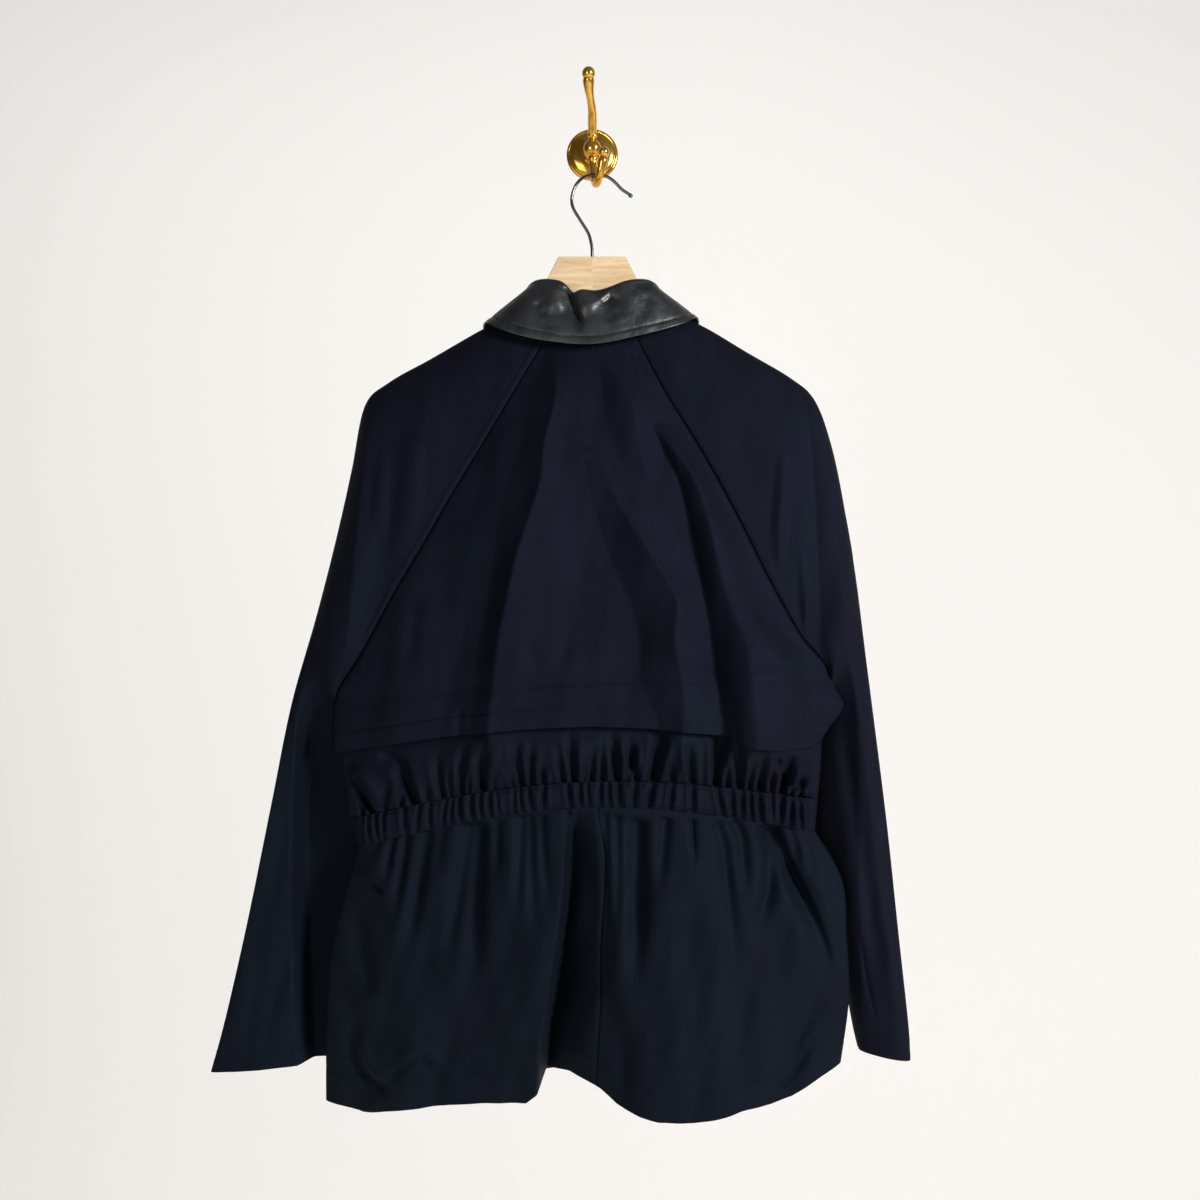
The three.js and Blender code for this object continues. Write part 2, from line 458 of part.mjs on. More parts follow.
function ball(name, [x, z, depth], radius) {
  const made = new THREE.SphereGeometry(radius, 16, 12);
  made.translate(x, -depth, z);
  add(wallHook, name, made, BRASS);
}
ball("hook_upper_ball", [-3.3, 58.6, 61.5], 6.6);
ball("hook_lower_ball", [11.8, -14.4, 48.4], 5.6);

export default new THREE.Group().add(jacket, hanger, wallHook);
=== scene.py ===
"""A hunting jacket hung back outwards on a wooden hanger, on a brass wall hook.

Sizes are millimetres in the CAD's frame: +Z up, the wall at y = 0, and depth is the distance out
from the wall, -y. They become metres only where a mesh is made.
"""
import math
from functools import partial

import bmesh
import bpy
import numpy as np
from mathutils import Matrix, Vector


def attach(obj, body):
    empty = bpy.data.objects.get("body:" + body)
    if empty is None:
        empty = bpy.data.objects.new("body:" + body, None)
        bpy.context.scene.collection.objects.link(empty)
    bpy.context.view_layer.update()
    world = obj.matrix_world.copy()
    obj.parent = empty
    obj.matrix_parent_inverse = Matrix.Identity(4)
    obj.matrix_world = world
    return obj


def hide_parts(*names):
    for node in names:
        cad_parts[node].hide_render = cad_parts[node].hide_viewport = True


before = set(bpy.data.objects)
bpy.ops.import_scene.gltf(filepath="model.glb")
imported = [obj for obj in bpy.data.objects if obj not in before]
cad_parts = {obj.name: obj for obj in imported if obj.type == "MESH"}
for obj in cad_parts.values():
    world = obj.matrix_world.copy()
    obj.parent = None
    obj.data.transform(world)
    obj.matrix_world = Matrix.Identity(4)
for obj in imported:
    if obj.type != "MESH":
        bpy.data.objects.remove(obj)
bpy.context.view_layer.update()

MM = 0.001
CLOTH = 1.1  # how thick the cloth is
LEATHER = 1.7
SEAM_GAP = 0.15  # half of the gap at a seam
SIDE_SEAM = 1.9  # half of the room between the back's pieces and the fronts
UNDER_CAPE = 5  # how far the back lies behind the cape at its sides
FOLD_ROOM = 19  # and how much further in the middle, behind the cape's folds
FRONT_DEPTH = 12  # the fronts' distance from the wall
FRONT_ROLL = 25  # how wide a front's turn is at its side seam
HANGER_DEPTH = 35
HANGER_THICK = 10


# ---------------------------------------------------------------- tables

def table(columns, *rows):
    """Rows of numbers as a dict of named columns."""
    return {name: np.array([row[i] for row in rows], float) for i, name in enumerate(columns.split())}


SLEEVE_COLUMNS = "seam_x seam_z back front drop edge_x edge_z edge closed swell"
SLEEVE_LEFT = table(
    SLEEVE_COLUMNS,
    (-44, -199, 57, 17, 24, -77, -171, 37, 0, 0),
    (-82, -265, 67, 13, 16, -118, -193, 36, 0, 0),
    (-112, -316, 71, 12, 10, -163, -219, 36, 0, 0),
    (-138, -359, 72, 13, 6, -204, -242, 36, 0, 0),
    (-166, -407, 71, 15, 4, -229, -266, 36, 0, 2),
    (-195, -455, 68, 20, 2, -242, -330, 36, 0.1, 8),
    (-229, -515, 60, 30, 0, -258, -400, 36, 0.3, 11),
    (-256, -560, 50, 42, 0, -278, -478, 36, 0.6, 12),
    (-247, -600, 22, 19, 0, -303, -566, 36, 1, 12),
    (-230, -690, 10, 7, 0, -324, -667, 34, 1, 9),
    (-240, -808, 10, 7, 0, -348, -785, 34, 1, 9),
    (-250, -896, 11, 8, 0, -370, -882, 34, 1, 10),
    (-258, -932, 13, 10, 0, -385, -938, 34, 1, 11),
)
SLEEVE_RIGHT = table(
    SLEEVE_COLUMNS,
    (42, -197, 57, 17, 24, 75, -169, 37, 0, 0),
    (71, -255, 67, 13, 16, 114, -187, 36, 0, 0),
    (98, -300, 72, 12, 10, 156, -212, 36, 0, 0),
    (125, -347, 74, 13, 6, 200, -238, 36, 0, 0),
    (150, -394, 73, 15, 4, 224, -260, 36, 0, 2),
    (176, -445, 70, 20, 2, 241, -306, 36, 0.1, 8),
    (206, -496, 62, 30, 0, 254, -368, 36, 0.3, 11),
    (236, -535, 51, 42, 0, 266, -440, 36, 0.6, 11),
    (230, -585, 22, 19, 0, 279, -540, 35, 1, 11),
    (226, -690, 12, 9, 0, 297, -680, 34, 1, 11),
    (251, -808, 14, 11, 0, 310, -800, 33, 1, 12),
    (266, -893, 18, 15, 0, 320, -890, 32, 1, 13),
    (272, -920, 20, 17, 0, 322, -926, 32, 1, 13),
)
SLEEVE_ROWS = {"left": SLEEVE_LEFT, "right": SLEEVE_RIGHT}
ARMPIT = 7  # the sleeve row where it leaves the body
BACK_ROWS = table(
    "swell arch middle_z",
    (4, -4, -246), (10, 0, -290), (15, 0, -335), (19, 0, -378),
    (23, 2, -420), (27, 4, -465), (35, 8, -515), (46, 12, -560),
)
BODY_COLUMNS = "left_x left_z left right_x right_z right swell arch middle_z"
CAPE_HEM = table(
    BODY_COLUMNS,
    (-258.5, -574, 50.5, 244, -551, 52.5, 48, 16, 0),
    (-259, -588, 51, 251, -567, 54, 48, 20, 0),
    (-258.5, -601, 52.5, 238, -586, 56, 45.5, 23.5, 0),
    (-258, -614, 54, 223, -607, 58, 43, 27, 0),
)
WAIST_ROWS = table(
    BODY_COLUMNS,
    (-252, -614, 46, 231, -604, 47, 42, 26, -612),
    (-243, -681, 44, 226, -661, 45, 36, 32, -672),
)
CASING_END = table(BODY_COLUMNS, (-234, -708, 44, 223, -692, 45, 36, 38, -700))
SKIRT_BELOW = table(
    BODY_COLUMNS,
    (-247, -752, 46, 250, -742, 48, 42, 28, -748),
    (-261, -811, 46, 254, -800, 50, 46, 15, -806),
    (-266, -870, 44, 257, -858, 47, 49, 6, -866),
    (-268, -968, 36, 249, -925, 44, 48, 0, -938),
)
CENTRE_SEAM = 0.524
HEM_DROP = table(  # how far each place across the skirt hangs below its lowest row
    "place drop",
    (0, -3), (0.03, 0), (0.08, 5), (0.15, 1), (0.25, -4), (0.34, -3),
    (0.395, -2), (0.43, -16), (0.475, -16), (0.51, -9), (0.535, -3), (0.565, 10),
    (0.61, 21), (0.645, 27), (0.71, 31), (0.75, 30), (0.8, 27), (0.86, 26),
    (0.9, 22), (0.93, 14), (0.96, 7), (1, -1),
)


def rows_of(made, first, last):
    return {name: column[first:last] for name, column in made.items()}


def stacked(*tables):
    return {name: np.concatenate([t[name] for t in tables]) for name in tables[0]}


def clamp01(x):
    return np.clip(x, 0.0, 1.0)


def ease(x):
    x = clamp01(x)
    return x * x * (3 - 2 * x)


def mix(a, b, t):
    return a + (b - a) * t


def row_at(rows, v):
    """The row at place v, from 0 to 1 down a table, on a smooth curve through each column."""
    count = len(next(iter(rows.values())))
    place = clamp01(np.asarray(v, float)) * (count - 1)
    i = np.minimum(place.astype(int), count - 2)
    t = place - i
    made = {}
    for name, column in rows.items():
        p0, p1 = column[np.maximum(i - 1, 0)], column[i]
        p2, p3 = column[i + 1], column[np.minimum(i + 2, count - 1)]
        m1, m2 = (p2 - p0) / 2, (p3 - p1) / 2
        made[name] = (
            (2 * t**3 - 3 * t**2 + 1) * p1 + (t**3 - 2 * t**2 + t) * m1
            + (3 * t**2 - 2 * t**3) * p2 + (t**3 - t**2) * m2
        )
    return made


SEAM_ROWS = {
    **{f"{side}{end}": sleeve[column][:ARMPIT + 1]
       for side, sleeve in SLEEVE_ROWS.items()
       for end, column in (("_x", "seam_x"), ("_z", "seam_z"), ("", "back"))},
    **BACK_ROWS,
}
CAPE_ROWS = stacked(SEAM_ROWS, CAPE_HEM)
BACK_PANEL_ROWS = stacked(SEAM_ROWS, WAIST_ROWS)
CASING_ROWS = stacked(rows_of(WAIST_ROWS, 1, 2), CASING_END)
SKIRT_ROWS = stacked(CASING_END, SKIRT_BELOW)

# ---------------------------------------------------------------- creases
# Each group has its kind and how soon its creases start and end, as shares of their length. A row is
# one crease's width, its rise and its points (x, z). soft is a rounded trough, or a ridge where rise is
# positive. pinch has a sharp bottom. lip stands up on its left and drops on its right.

CAPE_CREASES = (
    ("soft", 0.3, 0.4, (
        (7, -2.2, (-174, -450), (-173, -480), (-175, -502), (-181, -535)),
    )),
    ("soft", 0.3, 0.02, (
        (4, -2.4, (-127, -562), (-128, -585), (-129, -605)),
    )),
    ("soft", 0.4, 0.4, (
        (7, -1.6, (-67, -488), (-57, -515), (-48, -536)),
        (8, -1.8, (-16, -476), (-25, -512), (-33, -540)),
    )),
    ("soft", 0.4, 0.5, (
        (3.2, 1.5, (-17, -323), (-8, -319), (3, -318), (13, -323), (22, -329), (29, -338)),
    )),
    ("pinch", 0.3, 0.3, (
        (2.6, -2.6, (33, -219), (42, -223), (51, -227)),
        (2.6, -2.6, (46, -233), (52, -237), (59, -240)),
        (2.6, -2.4, (184, -486), (192, -494), (203, -504)),
    )),
    ("soft", 0.3, 0.3, (
        (9, -1.4, (206, -530), (214, -556), (212, -590)),
    )),
)
# Large folds: at each height, where the fold starts, its crest and its end, and its rise. Each side's
# pair says how round it is at the crest and at the foot, where 1 or less is a sharp corner.
CAPE_FOLDS = (
    ((1.5, 1.3), (1.5, 1.5), (
        (-300, -200, -182, -150, 0), (-361, -202, -184, -150, 3), (-461, -206, -186, -150, 3.5),
        (-520, -206, -186, -150, 3.5), (-612, -208, -188, -150, 2), (-642, -208, -188, -150, 0),
    )),
    ((1, 1.3), (1, 1.4), (
        (-225, -60, -38, 20, 0), (-240, -66, -36, 26, 2.1), (-267, -85, -35, 30, 3.5),
        (-306, -101, -45, 30, 4.9), (-345, -105, -48, 30, 5.6), (-384, -118, -60, 26, 6.3),
        (-423, -126, -72, 20, 7), (-462, -122, -81, 12, 7), (-501, -124, -89, 4, 6.3),
        (-540, -140, -93, 0, 6.3), (-578, -148, -98, -4, 6.3), (-612, -150, -99, -8, 5.6),
        (-642, -150, -99, -8, 0),
    )),
    ((1.1, 1.5), (1, 1.6), (
        (-215, -46, -38, 0, 0), (-240, -55, -36, 8, 5.4), (-267, -62, -35, 12, 7.5),
        (-306, -69, -45, 14, 9.5), (-345, -82, -48, 14, 10.9), (-384, -91, -60, 10, 11.6),
        (-423, -96, -72, 0, 10.9), (-462, -101, -81, -12, 10.2), (-501, -110, -89, -24, 9.5),
        (-540, -114, -93, -30, 8.8), (-578, -118, -98, -36, 8.8), (-612, -120, -99, -40, 7.5),
        (-642, -120, -99, -40, 0),
    )),
    ((1, 1), (1, 1.3), (
        (-322, -7, 8, 40, 0), (-346, -4, 14, 50, 5), (-385, 6, 35, 75, 10), (-423, 19, 59, 98, 15),
        (-462, 36, 82, 112, 18), (-500, 47, 78, 118, 18), (-538, 47, 87, 122, 15),
        (-577, 64, 87, 129, 13), (-600, 66, 88, 131, 12), (-642, 66, 88, 131, 0),
    )),
    ((1.4, 1.3), (1.2, 1.3), (
        (-225, 5, 14, 34, 0), (-240, 8, 20, 42, 2.5), (-270, 12, 38, 64, 5.5), (-306, 18, 45, 70, 6),
        (-330, 30, 50, 72, 3.5), (-350, 40, 54, 74, 0),
    )),
    ((1.3, 0.85), (1.3, 1.5), (
        (-290, 58, 64, 100, 0), (-308, 66, 73, 120, 7), (-346, 85, 101, 150, 15),
        (-385, 94, 112, 172, 20), (-423, 103, 120, 190, 20), (-462, 109, 131, 205, 20),
        (-500, 115, 146, 214, 20), (-538, 121, 152, 216, 20), (-577, 127, 156, 218, 19),
        (-600, 129, 157, 218, 18), (-642, 129, 157, 218, 0),
    )),
    ((1.3, 0.9), (1.5, 1.2), (
        (-440, 111, 140, 190, 0), (-462, 111, 150, 205, 4), (-500, 116, 176, 220, 13),
        (-538, 122, 190, 228, 15), (-577, 129, 178, 226, 14), (-600, 131, 172, 224, 13),
        (-642, 131, 172, 224, 0),
    )),
    ((1.4, 1.1), (1.6, 1.3), (
        (-302, 86, 98, 112, 0), (-320, 86, 102, 118, 3), (-336, 89, 106, 122, 4),
        (-353, 93, 108, 124, 3), (-372, 98, 110, 124, 0),
    )),
)
LEFT_SLEEVE_FOLDS = (
    ((1, 0.9), (1.2, 1.6), (
        (-262, -226, -218, -190, 0), (-280, -233, -220, -190, 4), (-306, -241, -224, -194, 7),
        (-361, -253, -229, -196, 9), (-415, -262, -233, -200, 10), (-460, -270, -237, -206, 10),
        (-500, -276, -241, -214, 9), (-540, -284, -248, -226, 6), (-570, -292, -254, -236, 0),
    )),
    ((1, 0.9), (1, 1.2), (
        (-548, -288, -279, -240, 0), (-580, -296, -286, -236, -16), (-640, -302, -291, -232, -26),
        (-700, -305, -294, -228, -27), (-793, -305, -292, -230, -27), (-885, -300, -288, -238, -25),
        (-975, -296, -284, -244, -22),
    )),
    ((2, 1.8), (2, 1.8), (
        (-290, -191, -174, -162, 0), (-315, -192, -174, -160, 3), (-340, -193, -175, -160, 4),
        (-367, -195, -177, -162, 4), (-395, -200, -182, -166, 2.5), (-422, -203, -188, -174, 0),
    )),
    ((2, 2), (2, 2), (
        (-310, -214, -205, -196, 0), (-340, -217, -206, -197, 2), (-375, -220, -208, -198, 2),
        (-400, -221, -210, -200, 0),
    )),
)
RIGHT_SLEEVE_FOLDS = (
    ((1.8, 1.6), (1.6, 1.4), (
        (-310, 180, 189, 198, 0), (-334, 179, 188, 199, 3), (-356, 177, 187, 198, 4),
        (-378, 175, 185, 196, 4.5), (-400, 175, 184, 193, 3.5), (-422, 178, 184, 190, 1.2),
        (-436, 180, 184, 188, 0),
    )),
    ((1.2, 0.9), (1.2, 1.4), (
        (-255, 210, 222, 240, 0), (-268, 213, 225, 244, 4), (-304, 217, 232, 252, 7),
        (-346, 220, 239, 262, 8), (-388, 222, 243, 268, 9), (-430, 224, 247, 272, 9),
        (-472, 226, 250, 276, 10), (-514, 226, 254, 282, 11), (-560, 228, 262, 288, 12),
        (-600, 230, 264, 292, 13), (-640, 232, 266, 296, 14), (-720, 236, 268, 300, 14),
        (-780, 244, 270, 304, 12), (-840, 254, 272, 306, 8), (-880, 258, 272, 306, 4),
        (-905, 262, 272, 306, 0),
    )),
    ((1.4, 1.2), (1.6, 1.3), (
        (-412, 201, 206, 211, 0), (-440, 203, 208, 214, 2), (-466, 204, 209, 214, 2.4),
        (-492, 205, 209, 213, 0),
    )),
    ((1.4, 1.2), (1.6, 1.3), (
        (-434, 210, 215, 219, 0), (-460, 208, 213, 218, 2.5), (-484, 206, 211, 216, 2.5),
        (-505, 206, 209, 213, 0),
    )),
)
LEFT_SLEEVE_CREASES = (
    ("soft", 0.3, 0.3, (
        (13, -3.5, (-296, -604), (-311, -695), (-335, -796), (-347, -877)),
        (10, 2.4, (-278, -725), (-296, -817), (-310, -908)),
    )),
    ("soft", 0.4, 0.1, (
        (8, -2.4, (-335, -827), (-345, -888), (-352, -940)),
    )),
    ("soft", 0.3, 0.2, (
        (9, -2.4, (-300, -790), (-322, -870), (-334, -935)),
    )),
)
RIGHT_SLEEVE_CREASES = (
    ("soft", 0.2, 0.2, (
        (8, 4, (258, -512), (274, -623), (289, -734), (302, -845), (308, -916)),
    )),
    ("soft", 0.2, 0.3, (
        (8, -4, (250, -563), (262, -664), (277, -764), (287, -845)),
    )),
    ("pinch", 0.3, 0.3, (
        (3.4, -2.2, (268, -790), (276, -840), (288, -896)),
    )),
    ("soft", 0.3, 0.3, (
        (9, -2, (284, -650), (296, -740), (304, -820)),
    )),
)
SKIRT_CREASES = (
    ("soft", 0.05, 0.5, (
        (5, -6.5, (-196, -690), (-201, -715), (-204, -745)),
        (6, -6.5, (-183, -690), (-189, -738), (-195, -785)),
        (8, -7.15, (-161, -685), (-172, -752), (-186, -828)),
        (6, -3.25, (-145, -680), (-150, -710), (-152, -740)),
        (7, -7.15, (-121, -678), (-131, -752), (-145, -832)),
        (10, -10.4, (-110, -676), (-113, -752), (-115, -845)),
        (5, -3.9, (-92, -674), (-92, -710), (-94, -736)),
        (5, -5.2, (12, -665), (14, -710), (14, -800)),
        (5, -5.85, (24, -668), (25, -720), (25, -790)),
        (10, -11.7, (44, -670), (43, -762), (40, -870)),
        (6, -5.2, (120, -676), (128, -700), (134, -752), (140, -826)),
        (5, -6.5, (196, -686), (202, -704), (205, -728)),
        (5, -6.5, (208, -688), (216, -708), (222, -738)),
        (5, -5.2, (217, -690), (230, -718), (238, -752)),
    )),
    ("soft", 0.05, 0.6, (
        (5.5, -6.5, (-69, -670), (-70, -728), (-72, -775)),
        (6, -6.5, (-60, -668), (-58, -733), (-55, -792)),
        (5, -4.55, (-49, -668), (-46, -720), (-40, -765)),
        (6, -6.5, (72, -672), (68, -714), (62, -750)),
        (6, -7.15, (136, -678), (146, -692), (149, -723), (150, -756)),
    )),
    ("pinch", 0.1, 0.4, (
        (5, -6.5, (-23, -662), (-20, -690), (-14, -722), (-8, -745)),
    )),
    ("soft", 0.4, 0.1, (
        (12, -4.55, (25, -849), (29, -893), (35, -945)),
    )),
    ("pinch", 0.05, 0.6, (
        (5, -5.2, (98, -674), (99, -700), (100, -724)),
    )),
    ("soft", 0.05, 0.4, (
        (8, -9.1, (166, -682), (175, -702), (174, -741), (167, -762), (158, -792)),
        (5, -5.2, (-208, -694), (-216, -708), (-224, -720)),
        (5, -5.2, (-219, -698), (-226, -710), (-232, -718)),
    )),
    ("soft", 0.05, 0.25, (
        (10, -15.6, (176, -684), (186, -706), (198, -731), (211, -755), (227, -791), (243, -838)),
    )),
    ("lip", 0.2, 0.2, (
        (12, -5.2, (190, -704), (204, -733), (217, -759), (231, -792), (242, -828)),
    )),
    ("pinch", 0.1, 0.3, (
        (5, -9.1, (-247, -736), (-232, -741), (-220, -745), (-203, -750)),
    )),
    ("soft", 0.3, 0.4, (
        (9, 5.2, (-238, -726), (-222, -731), (-205, -728)),
        (10, -5.2, (-250, -850), (-240, -875), (-232, -900)),
    )),
    ("soft", 0.2, 0.3, (
        (12, -10.4, (-246, -752), (-238, -780), (-230, -805), (-218, -856)),
    )),
    ("soft", 0.2, 0.2, (
        (9, -9.1, (-244, -880), (-236, -915), (-222, -934), (-196, -944)),
    )),
    ("soft", 0.3, 0.3, (
        (7, 5.2, (-232, -884), (-224, -908), (-212, -925), (-192, -932)),
        (5, 2.6, (-196, -911), (-172, -902), (-152, -912), (-140, -926)),
        (16, -5.2, (190, -905), (208, -880), (230, -845)),
        (5, 2.34, (203, -893), (214, -880), (228, -866)),
        (5, -2.6, (170, -925), (195, -912), (222, -888)),
        (14, -3.12, (-142, -835), (-138, -880), (-140, -930)),
        (14, -3.12, (-98, -845), (-94, -885), (-96, -930)),
        (16, -2.86, (146, -820), (143, -870), (148, -930)),
        (16, -2.6, (96, -760), (100, -830), (92, -900)),
    )),
    ("pinch", 0.3, 0.3, (
        (5, -4.42, (-203, -925), (-186, -920), (-168, -911), (-154, -923)),
    )),
)
# The left half laps over the right one at the skirt's middle, where the cloth falls far back.
SKIRT_FOLDS = (
    ((1, 1), (1, 1.5), (
        (-664, -18, -13, -2, 0), (-694, -26, -19, 16, -20), (-740, -28, -21, 28, -38),
        (-800, -35, -28, 40, -50), (-860, -43, -36, 50, -58), (-900, -50, -43, 58, -61),
        (-985, -54, -47, 68, -61),
    )),
)
BACK_CREASES = (
    ("pinch", 0.1, 0.2, (
        (4.5, -9, (-246, -640), (-236, -644), (-226, -656), (-217, -678)),
        (4.5, -8, (180, -612), (188, -634), (198, -646), (212, -642), (224, -634)),
    )),
    ("soft", 0.2, 0.2, (
        (6, 5, (-245, -631), (-231, -634), (-218, -647), (-209, -668)),
        (7, -8, (-214, -612), (-190, -622), (-181, -642), (-179, -668)),
        (6, 6, (196, -652), (208, -652), (220, -646)),
        (7, 5, (192, -622), (204, -632), (218, -626)),
    )),
    ("pinch", 0.2, 0.3, (
        (3.4, -6, (-241, -652), (-233, -661), (-227, -678)),
    )),
    ("pinch", 0.1, 0.3, (
        (4, -7, (186, -652), (198, -662), (210, -658), (222, -664)),
    )),
)
# The gathers above the casing: where each meets it, how far up it reaches, how far its top leans,
# and its width and rise.
GATHERS = (
    (-229, 20, 4, 4, -4.5), (-217, 42, -26, 4, -7.5), (-205, 30, 2, 4, -4.5), (-188, 30, 1, 4, -6),
    (-173, 56, -24, 6, -7.5), (-161, 20, -2, 3.5, -3.75), (-145, 52, -8, 5, -7.5),
    (-137, 40, -4, 3.5, -5.25), (-127, 55, 1, 4.5, -7.5), (-120, 30, 2, 3, -4.5),
    (-107, 60, 4, 6.5, -10.5), (-97, 34, 5, 4, -4.5), (-76, 30, -4, 3.5, -4.5), (-68, 55, -7, 5, -7.5),
    (-58, 50, -2, 4, -6.75), (-47, 24, -1, 3.5, -6), (-27, 46, -6, 4.5, -6.75), (-17, 58, -6, 5, -9),
    (-7, 34, 3, 3.5, -6), (-1, 44, 5, 4, -7.5), (10, 56, 1, 4, -6), (25, 60, -8, 5, -9),
    (35, 44, 6, 4, -6.75), (43, 50, -8, 4.5, -8.25), (59, 60, 10, 6, -12), (78, 26, 1, 4, -6),
    (98, 54, -6, 4.5, -7.5), (121, 62, 3, 5.5, -12), (132, 36, 2, 4, -5.25), (145, 58, -6, 5, -8.25),
    (155, 50, 4, 4, -7.5), (165, 56, 2, 5, -10.5), (178, 34, -2, 4, -6), (187, 56, 14, 5.5, -13.5),
    (197, 16, 3, 4, -6), (206, 30, 6, 5, -7.5), (216, 22, 4, 4, -6),
)
# Across the casing: where, the lean of its top, its width and rise.
PLEATS = (
    (-229, 2, 2.6, -3.36), (-221, -3, 3, -4.2), (-213, -4, 3, -4.2), (-206, 0, 2.6, -4.2),
    (-184, -3, 3.2, -4.48), (-171, 3, 2.6, -3.36), (-159, 0, 2.8, -3.92), (-144, 4, 2.6, -3.36),
    (-137, 2, 2.4, -3.08), (-129, -3, 2.6, -4.2), (-117, -3, 3, -4.76), (-108, -2, 2.6, -3.36),
    (-99, -2, 3, -4.76), (-92, -4, 2.4, -2.52), (-75, -1, 2.6, -3.64), (-69, -3, 2.6, -3.36),
    (-60, -5, 3, -4.2), (-47, 0, 3, -4.48), (-22, -4, 2.8, -4.2), (-11, -2, 3, -4.76),
    (-4, -2, 2.6, -3.64), (8, 0, 2.6, -3.36), (17, -2, 2.4, -3.36), (26, -3, 3.4, -5.04),
    (41, 2, 3.4, -5.04), (57, 5, 3.6, -6.16), (77, 3, 3, -4.48), (98, 0, 3.2, -4.76),
    (125, -6, 3, -4.76), (137, -2, 2.6, -3.92), (147, 0, 2.6, -4.2), (156, -2, 2.4, -3.64),
    (165, -3, 3, -5.32), (178, -2, 3.4, -5.32), (187, 1, 4.4, -7.7), (197, 4, 3.6, -7),
    (206, -4, 3, -4.76), (216, -5, 2.8, -4.76),
)
FRONT_LEFT_CREASES = (
    ("soft", 0.2, 0.4, (
        (11, 5, (-70, -262), (-88, -350), (-96, -460), (-92, -560)),
    )),
    ("soft", 0.3, 0.4, (
        (9, 3.5, (-128, -372), (-140, -450), (-138, -545)),
    )),
    ("soft", 0.3, 0.2, (
        (13, 5, (-60, -660), (-72, -780), (-66, -930)),
    )),
    ("soft", 0.2, 0.2, (
        (11, 4, (-140, -680), (-152, -800), (-148, -940)),
    )),
    ("soft", 0.2, 0.5, (
        (8, 3, (-196, -610), (-190, -680), (-196, -760)),
    )),
)
FRONT_RIGHT_CREASES = (
    ("soft", 0.2, 0.4, (
        (11, 5, (66, -262), (80, -352), (86, -470), (78, -572)),
    )),
    ("soft", 0.3, 0.4, (
        (9, 4, (118, -360), (132, -440), (134, -520)),
    )),
    ("soft", 0.3, 0.2, (
        (13, 5, (70, -650), (64, -790), (74, -930)),
    )),
    ("soft", 0.2, 0.2, (
        (11, 4.5, (150, -670), (142, -800), (154, -920)),
    )),
    ("soft", 0.2, 0.5, (
        (8, 3, (188, -600), (184, -690), (192, -750)),
    )),
)
COLLAR_CREASES = (
    ("pinch", 0.02, 0.35, (
        (5.5, -9, (-25, -152), (-21, -166), (-15, -182), (-9, -198)),
    )),
    ("lip", 0.05, 0.4, (
        (6, -2.2, (-30, -152), (-26, -167), (-19, -184)),
    )),
    ("soft", 0.1, 0.5, (
        (9, 3, (-38, -154), (-36, -168), (-33, -184)),
    )),
    ("soft", 0.1, 0.4, (
        (11, 3.5, (-14, -156), (-6, -168), (2, -184)),
    )),
    ("soft", 0.2, 0.3, (
        (9, -3, (10, -164), (19, -176), (26, -190)),
    )),
    ("soft", 0.3, 0.4, (
        (5, -1.5, (14, -158), (24, -166), (36, -168)),
        (6, -2, (-56, -166), (-52, -178), (-44, -186)),
        (9, -1.6, (58, -158), (52, -172), (54, -190)),
    )),
    ("soft", 0.3, 0.3, (
        (3, 0.9, (-50, -172), (-50, -182), (-44, -190)),
        (3, 0.8, (20, -172), (24, -182), (22, -190)),
    )),
)


def path_through(points, steps=6):
    """A smooth line through the points."""
    p = np.array(points, float)
    r = row_at({"x": p[:, 0], "z": p[:, 1]}, np.linspace(0, 1, (len(p) - 1) * steps + 1))
    return np.stack([r["x"], r["z"]], axis=1)


CREASE_SECTIONS = {  # how many widths a crease reaches, and its shape across its line
    "soft": (2.6, lambda off, width: np.exp(-off * off)),
    "pinch": (2.6, lambda off, width: np.exp(-2.2 * (np.sqrt(off * off + 0.02) - 0.14))),
    "lip": (5.5, lambda off, width: -np.tanh(off * width / 1.8) * np.exp(-np.abs(off) ** 1.5 * 2.2)),
}


def crease(x, z, kind, width, rise, start, end, points):
    line = path_through(points)
    widths, shape = CREASE_SECTIONS[kind]
    low, high = line.min(0) - width * widths, line.max(0) + width * widths
    near = (x > low[0]) & (x < high[0]) & (z > low[1]) & (z < high[1])
    made = np.zeros_like(x)
    if not near.any():
        return made
    px, pz = x[near], z[near]
    step = np.diff(line, axis=0)
    length = np.hypot(step[:, 0], step[:, 1])
    before = np.concatenate([[0], np.cumsum(length)[:-1]])
    best = np.full(px.shape, np.inf)
    along = np.zeros_like(px)
    side = np.zeros_like(px)
    for (ax, az), (sx, sz), size, start_at in zip(line, step, length, before):
        t = clamp01(((px - ax) * sx + (pz - az) * sz) / size**2)
        ox, oz = px - (ax + t * sx), pz - (az + t * sz)
        away = np.hypot(ox, oz)
        closer = away < best
        best = np.where(closer, away, best)
        along = np.where(closer, start_at + t * size, along)
        side = np.where(closer, np.sign(sx * oz - sz * ox), side)
    share = along / length.sum()
    off = best * side / width  # positive to the right of a line that runs down
    made[near] = rise * shape(off, width) * ease(share / start) * ease((1 - share) / end)
    return made


FOLD_COLUMNS = "z left core right rise"


def evened(columns, step=3.0, reach=4):
    """The columns at even heights, each value the mean of its neighbours, so that no row is a kink."""
    heights = np.arange(columns["z"][0], columns["z"][-1], -step)
    mean = np.ones(2 * reach + 1) / (2 * reach + 1)
    place = np.arange(len(heights))
    inside = np.minimum(np.minimum(place, place[::-1]) / reach, 1)  # 0 at both ends, which stay
    made = {"z": heights}
    for name in ("left", "core", "right", "rise"):
        column = np.interp(-heights, -columns["z"], columns[name])
        smooth = np.convolve(np.pad(column, reach, mode="edge"), mean, mode="valid")
        made[name] = column + (smooth - column) * inside
    return made


